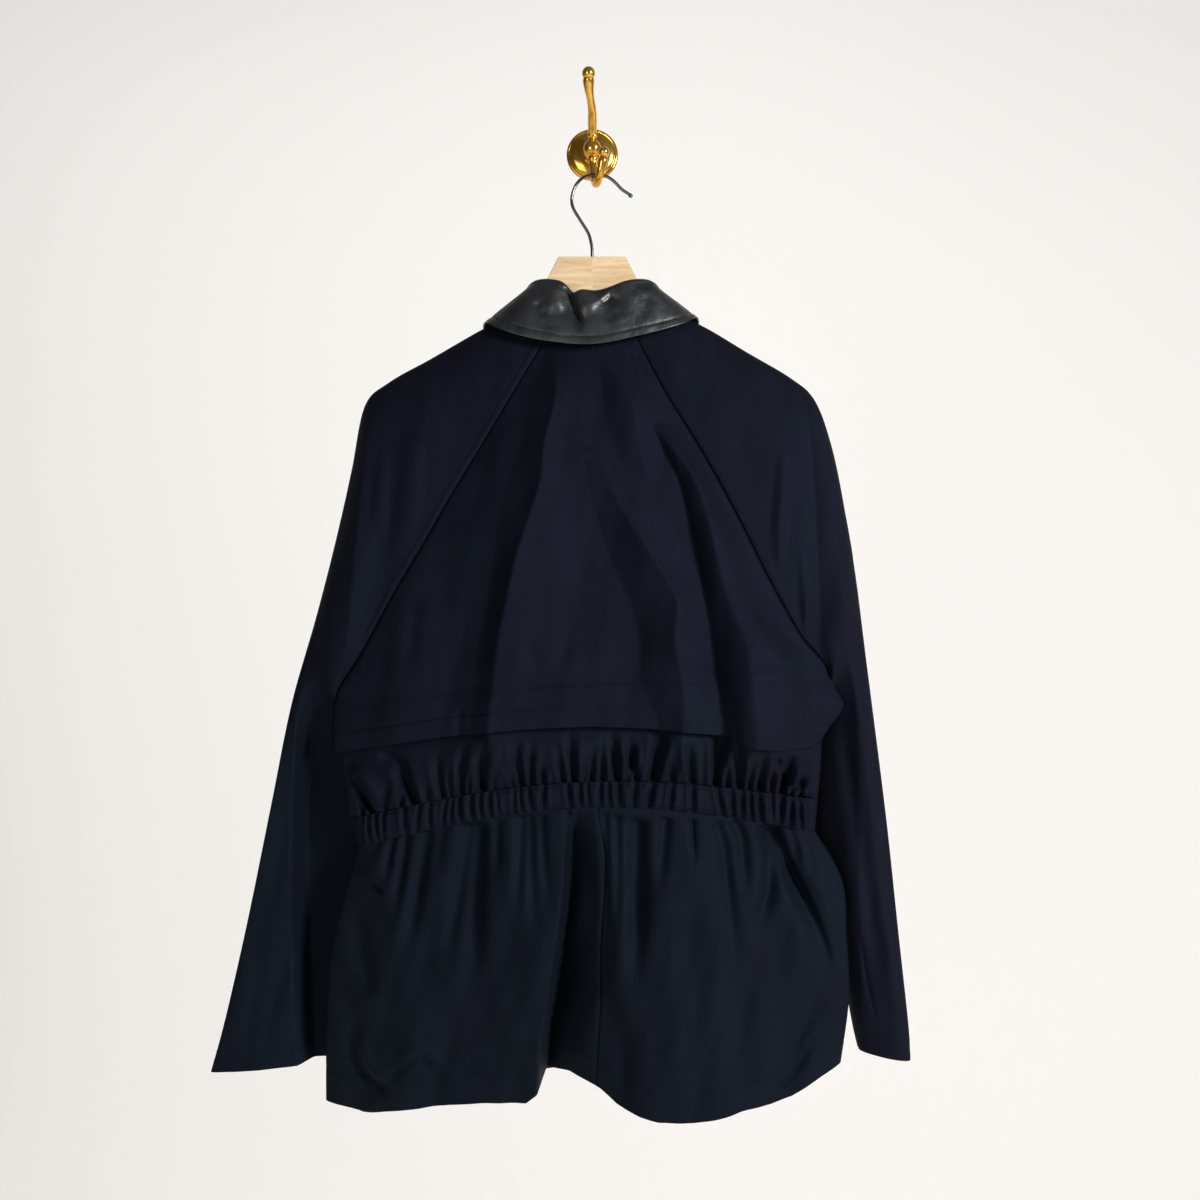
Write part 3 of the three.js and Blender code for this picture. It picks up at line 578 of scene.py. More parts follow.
def fold(x, z, left_side, right_side, rows):
    fine = evened(row_at(table(FOLD_COLUMNS, *rows), np.linspace(0, 1, len(rows) * 8)))
    made = np.zeros_like(x)
    near = (x > fine["left"].min()) & (x < fine["right"].max()) & (z < rows[0][0]) & (z > rows[-1][0])
    if not near.any():
        return made
    left, core, right, rise = (np.interp(-z[near], -fine["z"], fine[n]) for n in FOLD_COLUMNS.split()[1:])
    off = x[near] - core
    on_left = off < 0
    share = np.minimum(np.abs(off) / np.where(on_left, core - left, right - core), 1)
    bottom = np.where(on_left, left_side[0], right_side[0])
    top = np.where(on_left, left_side[1], right_side[1])
    made[near] = rise * (1 - share**bottom) ** top
    return made


def folds(x, z, rows):
    return sum((fold(x, z, *row) for row in rows), np.zeros_like(x))


def creases(x, z, groups):
    made = np.zeros_like(x)
    for kind, start, end, rows in groups:
        for width, rise, *points in rows:
            made += crease(x, z, kind, width, rise, start, end, points)
    return made


def gather(off):
    """A gather's section: a sharp bottom, and cloth bulging on both sides of it."""
    bulge = np.exp(-(((np.abs(off) - 1.7) / 0.7) ** 2))
    return np.exp(-2 * (np.sqrt(off * off + 0.03) - 0.17)) - 0.38 * bulge


RUMPLES = (  # each wave's direction, length and size
    (0.2, 150, 1.1), (1.2, 97, 0.6), (-0.5, 71, 0.5), (0.1, 43, 0.32), (1.5, 37, 0.14), (-0.25, 24, 0.12),
)


def rumple(x, z, seed):
    """The slight unevenness that all hung cloth has."""
    rise = np.zeros_like(x)
    for i, (turn, wave, size) in enumerate(RUMPLES):
        place = (x * math.cos(turn) + z * math.sin(turn)) / wave
        sway = np.sin(z / (wave * 1.7) + seed * 1.3 + i) * 0.8
        rise += size * np.sin(2 * math.pi * place + seed * 2.1 + i * 1.7 + sway)
    return rise


def doubled(above, wide, raised, sunk, line=None, line_wide=1.6, step=1.5):
    """A hem: its doubled cloth stands out up to its width, and its line of stitches sinks in."""
    line = wide if line is None else line
    return raised * ease((wide - above) / step) - sunk * np.exp(-(((above - line) / line_wide) ** 2))


# ---------------------------------------------------------------- surfaces
# Each takes u and v from 0 to 1 and gives x, z and depth.

CUFF_HEM = 21
CUFF_ROW = (36, 56)  # how long a row is near the cuff, at the seam and at the outer edge
RAGLAN_BAND = 7.5  # how wide the seam allowances show beside the raglan seam
FRONT_SHARE = 0.6  # how much of the back's folds a sleeve's front follows
WALL_ROOM = (6.0, 3.0)  # the least depth of a sleeve's back and of its front


def sleeve_at(rows, large, rough, seed, s, v):
    """s runs from the back's seam over the outer edge, at a half, to the front's seam."""
    r = row_at(rows, v)
    on_back = s <= 0.5
    p = np.where(on_back, s * 2, (1 - s) * 2)
    seam_depth = np.where(on_back, r["back"], r["front"])
    seam_z = r["seam_z"] - np.where(on_back, 0, r["drop"])
    swell = np.where(on_back, r["swell"], -r["swell"] * 0.75)
    opened, tube_shape = np.sin(p * np.pi / 2), (1 - np.cos(p * np.pi)) / 2
    width = np.hypot(r["edge_x"] - r["seam_x"], r["edge_z"] - seam_z)
    across = mix(opened, tube_shape, r["closed"]) * (1 - SEAM_GAP / width) + SEAM_GAP / width
    x = mix(r["seam_x"], r["edge_x"], across)
    z = mix(seam_z, r["edge_z"], across)
    depth_open = r["edge"] + (seam_depth - r["edge"]) * np.cos(p * np.pi / 2)
    depth_tube = mix(seam_depth, r["edge"], tube_shape) + swell * np.sin(p * np.pi)
    depth = mix(depth_open, depth_tube, r["closed"])
    rise = (creases(x, z, rough) + folds(x, z, large)) * ease(p * 9) * ease((1 - p) * 7)
    small = rumple(x, z, seed) * ease(p * 5) * ease((1 - p) * 4)
    from_seam = across * width
    raised = 0.7 * ease((RAGLAN_BAND - from_seam) / 1.2) * ease(from_seam / 0.9) * ease((0.62 - v) * 30)
    above = (1 - v) * (len(rows["back"]) - 1) * mix(*CUFF_ROW, across)
    hem = doubled(above, CUFF_HEM, 0.6, 0.5, CUFF_HEM + 0.5)
    depth = depth + np.where(on_back, rise + small + raised + hem, FRONT_SHARE * rise - small - hem)
    return x, z, np.maximum(depth, np.where(on_back, *WALL_ROOM))


def joined_to_sleeve(r, row, columns):
    """Down to the armpit a panel's edge keeps exactly to the sleeve's seam."""
    for name, column in columns.items():
        r[name] = np.where(row < ARMPIT, column, r[name])


def back_at(rows, t, v, under=0.0, gap=SEAM_GAP):
    r = row_at(rows, v)
    if rows is CAPE_ROWS or rows is BACK_PANEL_ROWS:
        row = v * (len(rows["middle_z"]) - 1)
        for side, sleeve in SLEEVE_ROWS.items():
            seam = row_at(sleeve, row / (len(sleeve["back"]) - 1))
            joined_to_sleeve(r, row, {
                side + "_x": seam["seam_x"], side + "_z": seam["seam_z"], side: seam["back"],
            })
    inset = gap / (r["right_x"] - r["left_x"])
    across = mix(inset, 1 - inset, t)
    x = mix(r["left_x"], r["right_x"], across)
    z = mix(r["left_z"], r["right_z"], across) + r["arch"] * np.sin(np.pi * t)
    swell = r["swell"] * np.maximum(np.sin(np.pi * t), 0) ** 0.7
    return x, z, mix(r["left"], r["right"], across) + swell - under


def off_sides(t, steep):
    """0 at both sides of a piece, and 1 further in."""
    return ease(np.sin(np.pi * t) * steep)


BACK_WIDE = 500
CAPE_HEM_WIDE = 19
CAPE_CORNER = (7, 137, 235)  # how far the cape's hem hangs lower at its right, and from where to where


def seam_groove(t, at, deep, wide=1.6):
    """Cloth sinks into a seam within a few millimetres of its place across the back."""
    return -deep * np.exp(-(np.abs(t - at) * BACK_WIDE / wide))


def cape_at(t, v):
    x, z, depth = back_at(CAPE_ROWS, t, v)
    _, hem_z, _ = back_at(CAPE_ROWS, t, np.ones_like(v))
    above = z - hem_z
    deep, first, last = CAPE_CORNER
    drop = deep * ease((x - first) / 10) * ease((last - x) / 60) * ease((60 - above) / 60)
    rise = creases(x, z, CAPE_CREASES) + folds(x, z, CAPE_FOLDS) + 1.5 * rumple(x, z, 1) * ease(v * 9)
    hem = doubled(above, CAPE_HEM_WIDE, 0.5, 0.5, line_wide=1.4)
    grooves = seam_groove(t, 0, 0.7) + seam_groove(t, 1, 0.7)
    return x, z - drop, depth + rise * off_sides(t, 3) + hem + grooves


ARMPIT_SHARE = ARMPIT / (len(BACK_PANEL_ROWS["left_x"]) - 1)
BACK_BULGE = (3.5, 62)  # how far the cloth bulges above the casing, and up to what height


def back_panel_at(t, v):
    free = ease((v - ARMPIT_SHARE) * 6)
    u = mix(mix(0.012, 0.988, t), t, free)
    under = UNDER_CAPE + FOLD_ROOM * np.maximum(np.sin(np.pi * u), 0) ** 0.5 * ease(v * 5)
    x, z, depth = back_at(BACK_PANEL_ROWS, u, v * 0.9985 + 0.001, under * (1 - free) - SIDE_SEAM * free)
    _, low_z, _ = back_at(BACK_PANEL_ROWS, u, np.ones_like(v))
    above = z - low_z
    rise = creases(x, z, BACK_CREASES)
    for place, up, lean, width, deep in GATHERS:
        share = above / up
        off = (x - place - lean * share) / (width * (0.75 + 0.5 * clamp01(share)))
        rise += deep * gather(off) * ease((1 - share) * 1.6) * ease((above + 1.5) / 5)
    swell = BACK_BULGE[0] * np.sin(np.pi * clamp01(above / BACK_BULGE[1])) * off_sides(t, 6)
    own = (rise * off_sides(t, 8) + swell + 0.6 * rumple(x, z, 3)) * free
    return x, z, depth + own + folds(x, z, CAPE_FOLDS) * off_sides(t, 3)


CASING_PROUD = 3.2  # how far the elastic holds the casing out
CASING_BELLY = 2.2  # how much further it swells in the middle
CASING_SUNK = 2.2  # how far its rows of stitches sink, and where, as a share from each edge
CASING_STITCHES = 0.07


def casing_at(t, v):
    x, z, depth = back_at(CASING_ROWS, t, v, -SIDE_SEAM)
    pleats = np.zeros_like(x)
    for place, lean, width, deep in PLEATS:
        pleats += deep * gather((x - place - lean * (0.5 - v)) / width)
    belly = CASING_BELLY * np.sin(np.pi * v) ** 0.8
    rows = (CASING_STITCHES, 1 - CASING_STITCHES)
    sunk = CASING_SUNK * sum(np.exp(-(((v - at) / 0.05) ** 2)) for at in rows)
    own = CASING_PROUD + pleats * (0.45 + 0.55 * np.sin(np.pi * v)) + belly - sunk
    return x, z, depth + off_sides(t, 9) * own


SKIRT_LONG = 262
SKIRT_HEM = 26
FLAT_IN_LAP = 0.8  # how much of its creases the lap's fold pulls out, where it is this deep
LAP_DEEP = 30


def skirt_at(t, v):
    x, z, depth = back_at(SKIRT_ROWS, t, v, -SIDE_SEAM)
    lap = folds(x, z, SKIRT_FOLDS)
    small = creases(x, z, SKIRT_CREASES) * (1 - FLAT_IN_LAP * ease(-lap / LAP_DEEP))
    low = 2.5 * rumple(x, z, 5) * ease(v * 3)
    hem = doubled((1 - v) * SKIRT_LONG, SKIRT_HEM, 0.6, 0.6)
    seam = seam_groove(t, CENTRE_SEAM, 0.9, 1.5)
    drop = np.interp(t, HEM_DROP["place"], HEM_DROP["drop"])
    return x, z - drop * v * v, depth + lap + (small + low) * off_sides(t, 3) + hem + seam


FRONT_LONG = 700
FRONT_HEM = 20
FRONT_GAP = 0.4  # half of the gap between the two fronts


def front_rows(sleeve, side):
    body = stacked(WAIST_ROWS, SKIRT_ROWS)
    upper = rows_of(sleeve, 0, ARMPIT + 1)
    return {
        "side_x": np.concatenate([upper["seam_x"], body[side + "_x"]]),
        "side_z": np.concatenate([upper["seam_z"] - upper["drop"], body[side + "_z"]]),
        "side": np.concatenate([upper["front"], body[side] - SIDE_SEAM]),
        "middle_z": np.concatenate([BACK_ROWS["middle_z"], body["middle_z"]]),
    }


def front_at(rows, sleeve, rough, seed, t, v):
    """t runs from the side to the front edge."""
    r = row_at(rows, v)
    row = v * (len(rows["middle_z"]) - 1)
    seam = row_at(sleeve, row / (len(sleeve["back"]) - 1))
    joined_to_sleeve(r, row, {"side_x": seam["seam_x"], "side_z": seam["seam_z"] - seam["drop"],
                              "side": seam["front"]})
    middle_x = np.sign(r["side_x"]) * FRONT_GAP
    inset = (4 * SEAM_GAP) / np.abs(r["side_x"])
    across = mix(inset, 1, t**1.3)
    x = mix(r["side_x"], middle_x, across)
    z = mix(r["side_z"], r["middle_z"], across)
    turn = np.exp(-((np.abs(x - r["side_x"]) / FRONT_ROLL) ** 1.5))
    depth = FRONT_DEPTH + (r["side"] - FRONT_DEPTH) * turn
    free = ease(np.abs(x) / 60 - 0.45) * ease(t * 8)
    hem = doubled((1 - v) * FRONT_LONG, FRONT_HEM, -0.5, 0)
    return x, z, depth + (creases(x, z, rough) + 0.8 * rumple(x, z, seed)) * free + hem


COLLAR_COLUMNS = "seam_x seam_z seam roll_x roll_z roll edge_x edge_z edge"
COLLAR_HALF = (
    (-4, -243, 16, -5, -222, 12, -44, -292, 6),
    (-36, -220, 19, -34, -194, 13, -80, -252, 7),
    (-63, -181, 24, -58, -164, 26, -106, -199, 20),
    (-70, -166, 38, -63, -154, 38, -106, -184, 41),
    (-59, -176, 50, -54, -148, 52, -89, -195, 62),
    (-38, -195, 58, -34, -150, 60, -52, -207, 72),
    (0, -200, 61, 2, -161, 63, -1, -212, 75),
)
COLLAR_ROWS = table(
    COLLAR_COLUMNS, *COLLAR_HALF,
    *((-row[0] - 1, row[1], row[2], -row[3] + 2, row[4], row[5], -row[6] - 2, row[7] + 5, row[8])
      for row in reversed(COLLAR_HALF[:-1])),
)
ROLL_RADIUS = 3.2
ROLL_DENT = (7, -19, 7)  # how deep the roll dips at the back of the neck, where and how wide
NECK_BACK = 45  # the roll's depth is more than this at the back of the neck
OUTSIDE_BACK = 44  # and the leather's, where it has creases
COLLAR_STAND = 0.35  # the share of v up to the roll, and the share up to the fall
COLLAR_ROLLED = 0.5
COLLAR_FALL = 52
COLLAR_STRIP = 7.2  # how wide the doubled strip along the free edge is


def collar_at(s, v):
    """v runs up the stand, over the roll and down the fall."""
    r = row_at(COLLAR_ROWS, s)
    seam, roll, edge = (np.stack([r[n + "_x"], r[n + "_z"], r[n]], -1) for n in ("seam", "roll", "edge"))
    deep, dent_x, wide = ROLL_DENT
    roll[..., 1] -= deep * np.exp(-(((roll[..., 0] - dent_x) / wide) ** 2)) * (roll[..., 2] > NECK_BACK)
    out = edge - seam
    out[..., 1] = 0
    out /= np.linalg.norm(out, axis=-1, keepdims=True)
    up = np.array([0.0, 1.0, 0.0])
    v3 = np.asarray(v)[..., None]
    stand = mix(seam, roll - ROLL_RADIUS * out, clamp01(v3 / COLLAR_STAND))
    share = clamp01((v3 - COLLAR_ROLLED) / (1 - COLLAR_ROLLED))
    fall = mix(roll + ROLL_RADIUS * out, edge, share) + out * 2.2 * np.sin(np.pi * share)
    turn = clamp01((v3 - COLLAR_STAND) / (COLLAR_ROLLED - COLLAR_STAND)) * np.pi
    over = roll - ROLL_RADIUS * np.cos(turn) * out + ROLL_RADIUS * np.sin(turn) * up
    p = np.where(v3 < COLLAR_STAND, stand, np.where(v3 > COLLAR_ROLLED, fall, over))
    x, z, depth = p[..., 0], p[..., 1], p[..., 2]
    outside = ease((v - 0.42) * 12) * (depth > OUTSIDE_BACK)
    from_edge = COLLAR_FALL * (1 - v) / (1 - COLLAR_ROLLED)
    strip = doubled(from_edge, COLLAR_STRIP, 0.9, 0.7, COLLAR_STRIP + 0.4, 1.1, step=1.4)
    lift = (strip * ease((v - 0.6) * 8))[..., None] * out
    depth = depth + creases(x, z, COLLAR_CREASES) * outside
    return x + lift[..., 0], z, depth + lift[..., 2]


# ---------------------------------------------------------------- making pieces

def mesh_object(name, bm, material, smooth=True):
    mesh = bpy.data.meshes.new(name)
    bm.to_mesh(mesh)
    bm.free()
    if smooth:
        mesh.shade_smooth()
    mesh.materials.append(material)
    obj = bpy.data.objects.new(name, mesh)
    bpy.context.collection.objects.link(obj)
    return obj


def ride(obj, slot, *nodes):
    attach(obj, "root")
    if nodes:
        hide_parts(*nodes)


def point_on(place, u, v):
    """A surface's point in the frame's axes, in mm."""
    x, z, depth = place(u, v)
    return np.stack([x, -depth, z], -1)


def run_of(points, axis):
    """Each grid point's distance along the cloth from the first one of its row or column."""
    run = np.cumsum(np.linalg.norm(np.diff(points, axis=axis), axis=2), axis)
    return np.insert(run, 0, 0, axis)


def cloth(name, grid, place, material, node, thick=CLOTH, slot="shell_cloth", flip=False,
          side=-1, down=None):
    """A wall of cloth: a fine grid whose points place(u, v) moves, thickened.

    grid is its counts of columns and rows, down spaces the rows, and side is the side that it is
    thickened on, where -1 is inwards.
    """
    columns, rows = grid
    bm = bmesh.new()
    bmesh.ops.create_grid(bm, x_segments=columns, y_segments=rows, size=1, calc_uvs=False)
    bm.loops.layers.uv.new("UVMap")
    if flip:
        bmesh.ops.reverse_faces(bm, faces=bm.faces)
    obj = mesh_object(name, bm, material)
    mesh = obj.data
    flat = np.empty(len(mesh.vertices) * 3)
    mesh.vertices.foreach_get("co", flat)
    flat = flat.reshape(-1, 3)
    low, high = flat.min(0), flat.max(0)
    column = np.rint((flat[:, 0] - low[0]) / (high[0] - low[0]) * columns).astype(int)
    row = np.rint((high[1] - flat[:, 1]) / (high[1] - low[1]) * rows).astype(int)
    u, v = np.meshgrid(np.linspace(0, 1, columns + 1), np.linspace(0, 1, rows + 1))
    if down:
        v = down(v)
    p = point_on(place, u, v) * MM
    mesh.vertices.foreach_set("co", p[row, column].ravel())
    width, length = run_of(p, 1)[:, -1].mean(), run_of(p, 0)[-1].mean()
    corner = np.empty(len(mesh.loops), int)
    mesh.loops.foreach_get("vertex_index", corner)
    weave = np.stack([u * width, -v * length], -1)[row, column][corner]  # metres along the cloth
    mesh.uv_layers["UVMap"].data.foreach_set("uv", weave.ravel())
    mesh.update()
    wall = obj.modifiers.new("wall", "SOLIDIFY")
    wall.thickness, wall.offset, wall.use_even_offset = thick * MM, side, False
    ride(obj, slot, node)


def normal_at(place, u, v, step=0.002):
    across = point_on(place, u + step, v) - point_on(place, u - step, v)
    down = point_on(place, u, v + step) - point_on(place, u, v - step)
    n = np.cross(down, across)
    return n / np.linalg.norm(n, axis=-1, keepdims=True)


def at_height(place, us, above, low_v):
    """The line at u values us that stays that far along the cloth from its lower edge."""
    u, v = np.meshgrid(us, np.linspace(1, low_v, 160))
    run = run_of(point_on(place, u, v), 0)
    return us, np.array([np.interp(above, run[:, i], v[:, i]) for i in range(len(us))])


def at_band(place, vs, away, first, last):
    """The line at v values vs that stays that far along the cloth from its edge at u = first."""
    v, u = np.meshgrid(vs, np.linspace(first, last, 160))
    run = run_of(point_on(place, u, v), 0)
    return np.array([np.interp(away, run[:, i], u[:, i]) for i in range(len(vs))]), vs


STITCH_PITCH = 3.1
STITCH_LONG = 2.3
STITCH_OUT = 0.12
RAGLAN_STITCHES = 6.6  # how far the stitches lie from the raglan seam, and from a front's edge
FRONT_STITCHES = 3
CASING_THREADS = (0.09, 0.91)  # and down the casing, as shares of its height


def one_stitch(radius):
    bm = bmesh.new()
    bmesh.ops.create_uvsphere(bm, u_segments=6, v_segments=4, radius=1,
                              matrix=Matrix.Diagonal((radius, radius * 0.8, STITCH_LONG / 2, 1)))
    mesh = bpy.data.meshes.new("stitch")
    bm.to_mesh(mesh)
    bm.free()
    return mesh


def topstitch(piece, place, lines, out=1, slot="shell_cloth", radius=0.33):
    """Thread in short stitches along lines of u and v. out is -1 where the piece's grid is flipped."""
    thread = one_stitch(radius)
    bm = bmesh.new()
    for us, vs in lines:
        points, face_at = point_on(place, us, vs), normal_at(place, us, vs) * out
        at = np.concatenate([[0], np.cumsum(np.linalg.norm(np.diff(points, axis=0), axis=1))])
        middles = (np.arange(int(at[-1] / STITCH_PITCH)) + 0.5) * STITCH_PITCH
        here, ahead, behind, face = (
            np.stack([np.interp(middles + step, at, values[:, k]) for k in range(3)], -1)
            for values, step in ((points, 0), (points, 1), (points, -1), (face_at, 0))
        )
        for middle, forward, up in zip(here, ahead - behind, face):
            along = Vector(forward).normalized()
            side = along.cross(Vector(up)).normalized()
            up = side.cross(along).normalized()
            turn = Matrix((side, up, along)).transposed().to_4x4()
            one = thread.copy()
            one.transform(Matrix.Scale(MM, 4) @ Matrix.Translation(Vector(middle) + up * STITCH_OUT) @ turn)
            bm.from_mesh(one)
            bpy.data.meshes.remove(one)
    bpy.data.meshes.remove(thread)
    ride(mesh_object(f"{piece}_topstitch", bm, THREAD), slot)


def lathe(name, profile, material, slot, node, segments=96):
    """A closed round body turned about the wall's normal; profile holds (radius, depth)."""
    bm = bmesh.new()
    ends = [bm.verts.new((r * MM, -d * MM, 0)) for r, d in profile]
    edges = [bm.edges.new(pair) for pair in zip(ends, ends[1:])]
    bmesh.ops.spin(bm, geom=ends + edges, cent=(0, 0, 0), axis=(0, 1, 0), angle=2 * math.pi,
                   steps=segments, use_merge=True)
    bmesh.ops.remove_doubles(bm, verts=bm.verts, dist=1e-6)
    bmesh.ops.recalc_face_normals(bm, faces=bm.faces)
    ride(mesh_object(name, bm, material), slot, node)


def edges_of(verts):
    return list({edge for vert in verts for edge in vert.link_edges})


def tube(name, path, material, slot, node, sides=32, steps=10):
    """A round bar with flat ends. path rows are (x, z, depth, radius)."""
    rows = table("x z depth radius", *path)
    r = row_at(rows, np.linspace(0, 1, (len(path) - 1) * steps + 1))
    line = [Vector((x, -d, z)) for x, z, d in zip(r["x"], r["z"], r["depth"])]
    last = len(line) - 1
    bm = bmesh.new()
    side = Vector((1, 0, 0))
    loops = []
    for i, (here, radius) in enumerate(zip(line, r["radius"])):
        along = (line[min(i + 1, last)] - line[max(i - 1, 0)]).normalized()
        side = (side - along * side.dot(along)).normalized()
        turn = Matrix((side, along.cross(side), along)).transposed().to_4x4()
        loops.append(edges_of(bmesh.ops.create_circle(
            bm, segments=sides, radius=radius, cap_ends=i in (0, last),
            matrix=Matrix.Scale(MM, 4) @ Matrix.Translation(here) @ turn,
        )["verts"]))
    for first, second in zip(loops, loops[1:]):
        bmesh.ops.bridge_loops(bm, edges=first + second)
    bmesh.ops.recalc_face_normals(bm, faces=bm.faces)
    ride(mesh_object(name, bm, material), slot, node)


def ball(name, x, z, depth, radius, material, slot, node):
    bm = bmesh.new()
    bmesh.ops.create_uvsphere(bm, u_segments=48, v_segments=32, radius=radius * MM)
    bmesh.ops.translate(bm, verts=bm.verts, vec=Vector((x, -depth, z)) * MM)
    ride(mesh_object(name, bm, material), slot, node)


# ---------------------------------------------------------------- materials

def new_material(name):
    material = bpy.data.materials.new(name)
    material.use_nodes = True
    tree = material.node_tree
    return material, tree, tree.nodes["Principled BSDF"]


def node(tree, kind, links=(), **values):
    """A node with its inputs and settings given by name, and links to its inputs."""
    made = tree.nodes.new(kind)
    for key, value in values.items():
        if key in made.inputs and not hasattr(type(made), key):
            made.inputs[key].default_value = value
        else:
            setattr(made, key, value)
    for socket, source in links:
        tree.links.new(source, made.inputs[socket])
    return made


def feed(tree, socket, value):
    """A socket's value: another node's output, a colour or a number."""
    if isinstance(value, bpy.types.NodeSocket):
        tree.links.new(value, socket)
    else:
        socket.default_value = (*value, 1) if isinstance(value, tuple) else value


def finish(tree, shader, colour, rough, **others):
    for name, value in {"Base Color": colour, "Roughness": rough, **others}.items():
        feed(tree, shader.inputs[name.replace("_", " ")], value)


def object_place(tree):
    return node(tree, "ShaderNodeTexCoord").outputs["Object"]


def noise(tree, place, scale, detail, **others):
    made = node(tree, "ShaderNodeTexNoise", [("Vector", place)], Scale=scale, Detail=detail, **others)
    return made.outputs["Fac"]


def stretched(tree, place, scale, lean=0.0):
    """The coordinates stretched along each axis, after a lean about the wall's normal."""
    made = node(tree, "ShaderNodeMapping", [("Vector", place)])
    made.inputs["Rotation"].default_value = (0, lean, 0)
    made.inputs["Scale"].default_value = scale
    return made.outputs[0]


def ranged(tree, value, to, source=(0.0, 1.0), kind="LINEAR"):
    made = node(tree, "ShaderNodeMapRange", [("Value", value)], interpolation_type=kind)
    for socket, number in zip(("From Min", "From Max", "To Min", "To Max"), (*source, *to)):
        made.inputs[socket].default_value = number
    return made.outputs["Result"]


def bumps(tree, shader, *layers):
    """Bumps laid on each other, the finest first: each one's height, strength and distance."""
    links = []
    for height, strength, distance in layers:
        made = node(tree, "ShaderNodeBump", [("Height", height), *links],
                    Strength=strength, Distance=distance)
        links = [("Normal", made.outputs[0])]
    tree.links.new(made.outputs[0], shader.inputs["Normal"])


def colour_between(tree, factor, dark, light, low=0.3, high=0.7):
    ramp = node(tree, "ShaderNodeValToRGB", [("Fac", factor)])
    for stop, position, colour in zip(ramp.color_ramp.elements, (low, high), (dark, light)):
        stop.position, stop.color = position, (*colour, 1)
    return ramp.outputs["Color"]


def colour_mix(tree, factor, first, second):
    """The two colours, each a socket or a constant, mixed by the factor."""
    made = node(tree, "ShaderNodeMix", data_type="RGBA")
    tree.links.new(factor, made.inputs["Factor"])
    feed(tree, made.inputs[6], first)
    feed(tree, made.inputs[7], second)
    return made.outputs[2]


def maths(tree, operation, a, b):
    made = node(tree, "ShaderNodeMath", operation=operation)
    feed(tree, made.inputs[0], a)
    feed(tree, made.inputs[1], b)
    return made.outputs[0]


def weighted(tree, *terms):
    """The sum of each socket times its weight."""
    total, *rest = (maths(tree, "MULTIPLY", socket, weight) for socket, weight in terms)
    for term in rest:
        total = maths(tree, "ADD", total, term)
    return total


NAVY = ((0.0027, 0.0030, 0.0062), (0.0050, 0.0056, 0.0104))
NAVY_GLOSS = (0.50, 0.55, 1.0)
TEAL = ((0.0014, 0.0024, 0.0039), (0.0040, 0.0060, 0.0092))
TEAL_GLOSS = (0.38, 0.60, 0.98)
TEAL_HEIGHTS = (-0.48, -0.66)  # where a piece starts to turn teal, and where it has done so, in metres


def shell_cloth(name, teal, lower_teal=None):
    """A close, crisp weave with a low sheen, its navy turned teal in patches.

    The weave follows the cloth, in metres. teal is the share of teal, or at the shoulders where
    lower_teal gives another for the cuffs.
    """
    material, tree, shader = new_material(name)
    along = node(tree, "ShaderNodeUVMap", uv_map="UVMap").outputs["UV"]
    where = object_place(tree)
    warp, weft = (
        node(tree, "ShaderNodeTexWave", [("Vector", along)], Scale=scale, Distortion=0.6, Detail=0.0,
             bands_direction=direction).outputs["Fac"]
        for scale, direction in ((290.0, "X"), (250.0, "Y"))
    )
    slub = noise(tree, stretched(tree, along, (45, 1100, 1)), 1.0, 3.0)
    grain = noise(tree, where, 700.0, 4.0, Roughness=0.65)
    pucker = noise(tree, where, 38.0, 5.0, Roughness=0.55)
    patch = noise(tree, stretched(tree, where, (13, 13, 8)), 1.0, 4.0)
    tone = weighted(tree, (patch, 0.3), (grain, 0.35), (slub, 0.35))
    share = maths(tree, "MULTIPLY", maths(tree, "SUBTRACT", patch, 0.5), 2.6)
    if lower_teal is not None:
        height = node(tree, "ShaderNodeSeparateXYZ", [("Vector", where)]).outputs["Z"]
        teal = ranged(tree, height, (teal, lower_teal), TEAL_HEIGHTS, "SMOOTHSTEP")
    share = node(tree, "ShaderNodeClamp", [("Value", maths(tree, "ADD", share, teal))]).outputs[0]
    navy_dye, teal_dye = (colour_between(tree, tone, *dye, 0.38, 0.62) for dye in (NAVY, TEAL))
    finish(tree, shader, colour_mix(tree, share, navy_dye, teal_dye), ranged(tree, tone, (0.80, 0.70)),
           Specular_Tint=colour_mix(tree, share, NAVY_GLOSS, TEAL_GLOSS), Specular_IOR_Level=0.17)
    bumps(tree, shader, (maths(tree, "ADD", warp, weft), 0.10, 0.0002), (slub, 0.25, 0.0003),
          (grain, 0.2, 0.0003), (pucker, 0.4, 0.0018))
    return material


def glossy_leather(name):
    material, tree, shader = new_material(name)
    where = object_place(tree)
    pores = node(tree, "ShaderNodeTexVoronoi", [("Vector", where)], Scale=620.0).outputs["Distance"]
    grain = noise(tree, where, 240.0, 5.0)
    wear = noise(tree, where, 42.0, 3.0)
    worn = colour_between(tree, wear, (0.0080, 0.0095, 0.0112), (0.024, 0.0270, 0.0300))
    finish(tree, shader, worn, ranged(tree, wear, (0.30, 0.52)), Specular_IOR_Level=0.6)
    bumps(tree, shader, (pores, 0.22, 0.0003), (grain, 0.25, 0.0005), (wear, 0.7, 0.0035))
    return material


def beech(name, lean):
    """Planed beech, its grain leaning from level."""
    material, tree, shader = new_material(name)
    where = object_place(tree)
    grain = noise(tree, stretched(tree, where, (18, 60, 210), lean), 1.0, 5.0, Distortion=0.4)
    fleck = noise(tree, stretched(tree, where, (160, 700, 1500), lean), 1.0, 2.0)
    tone = weighted(tree, (grain, 0.72), (fleck, 0.28))
    wood = colour_between(tree, tone, (0.68, 0.455, 0.245), (0.92, 0.71, 0.45), 0.36, 0.62)
    finish(tree, shader, wood, 0.5, Specular_IOR_Level=0.35)
    bumps(tree, shader, (tone, 0.12, 0.0003))
    return material


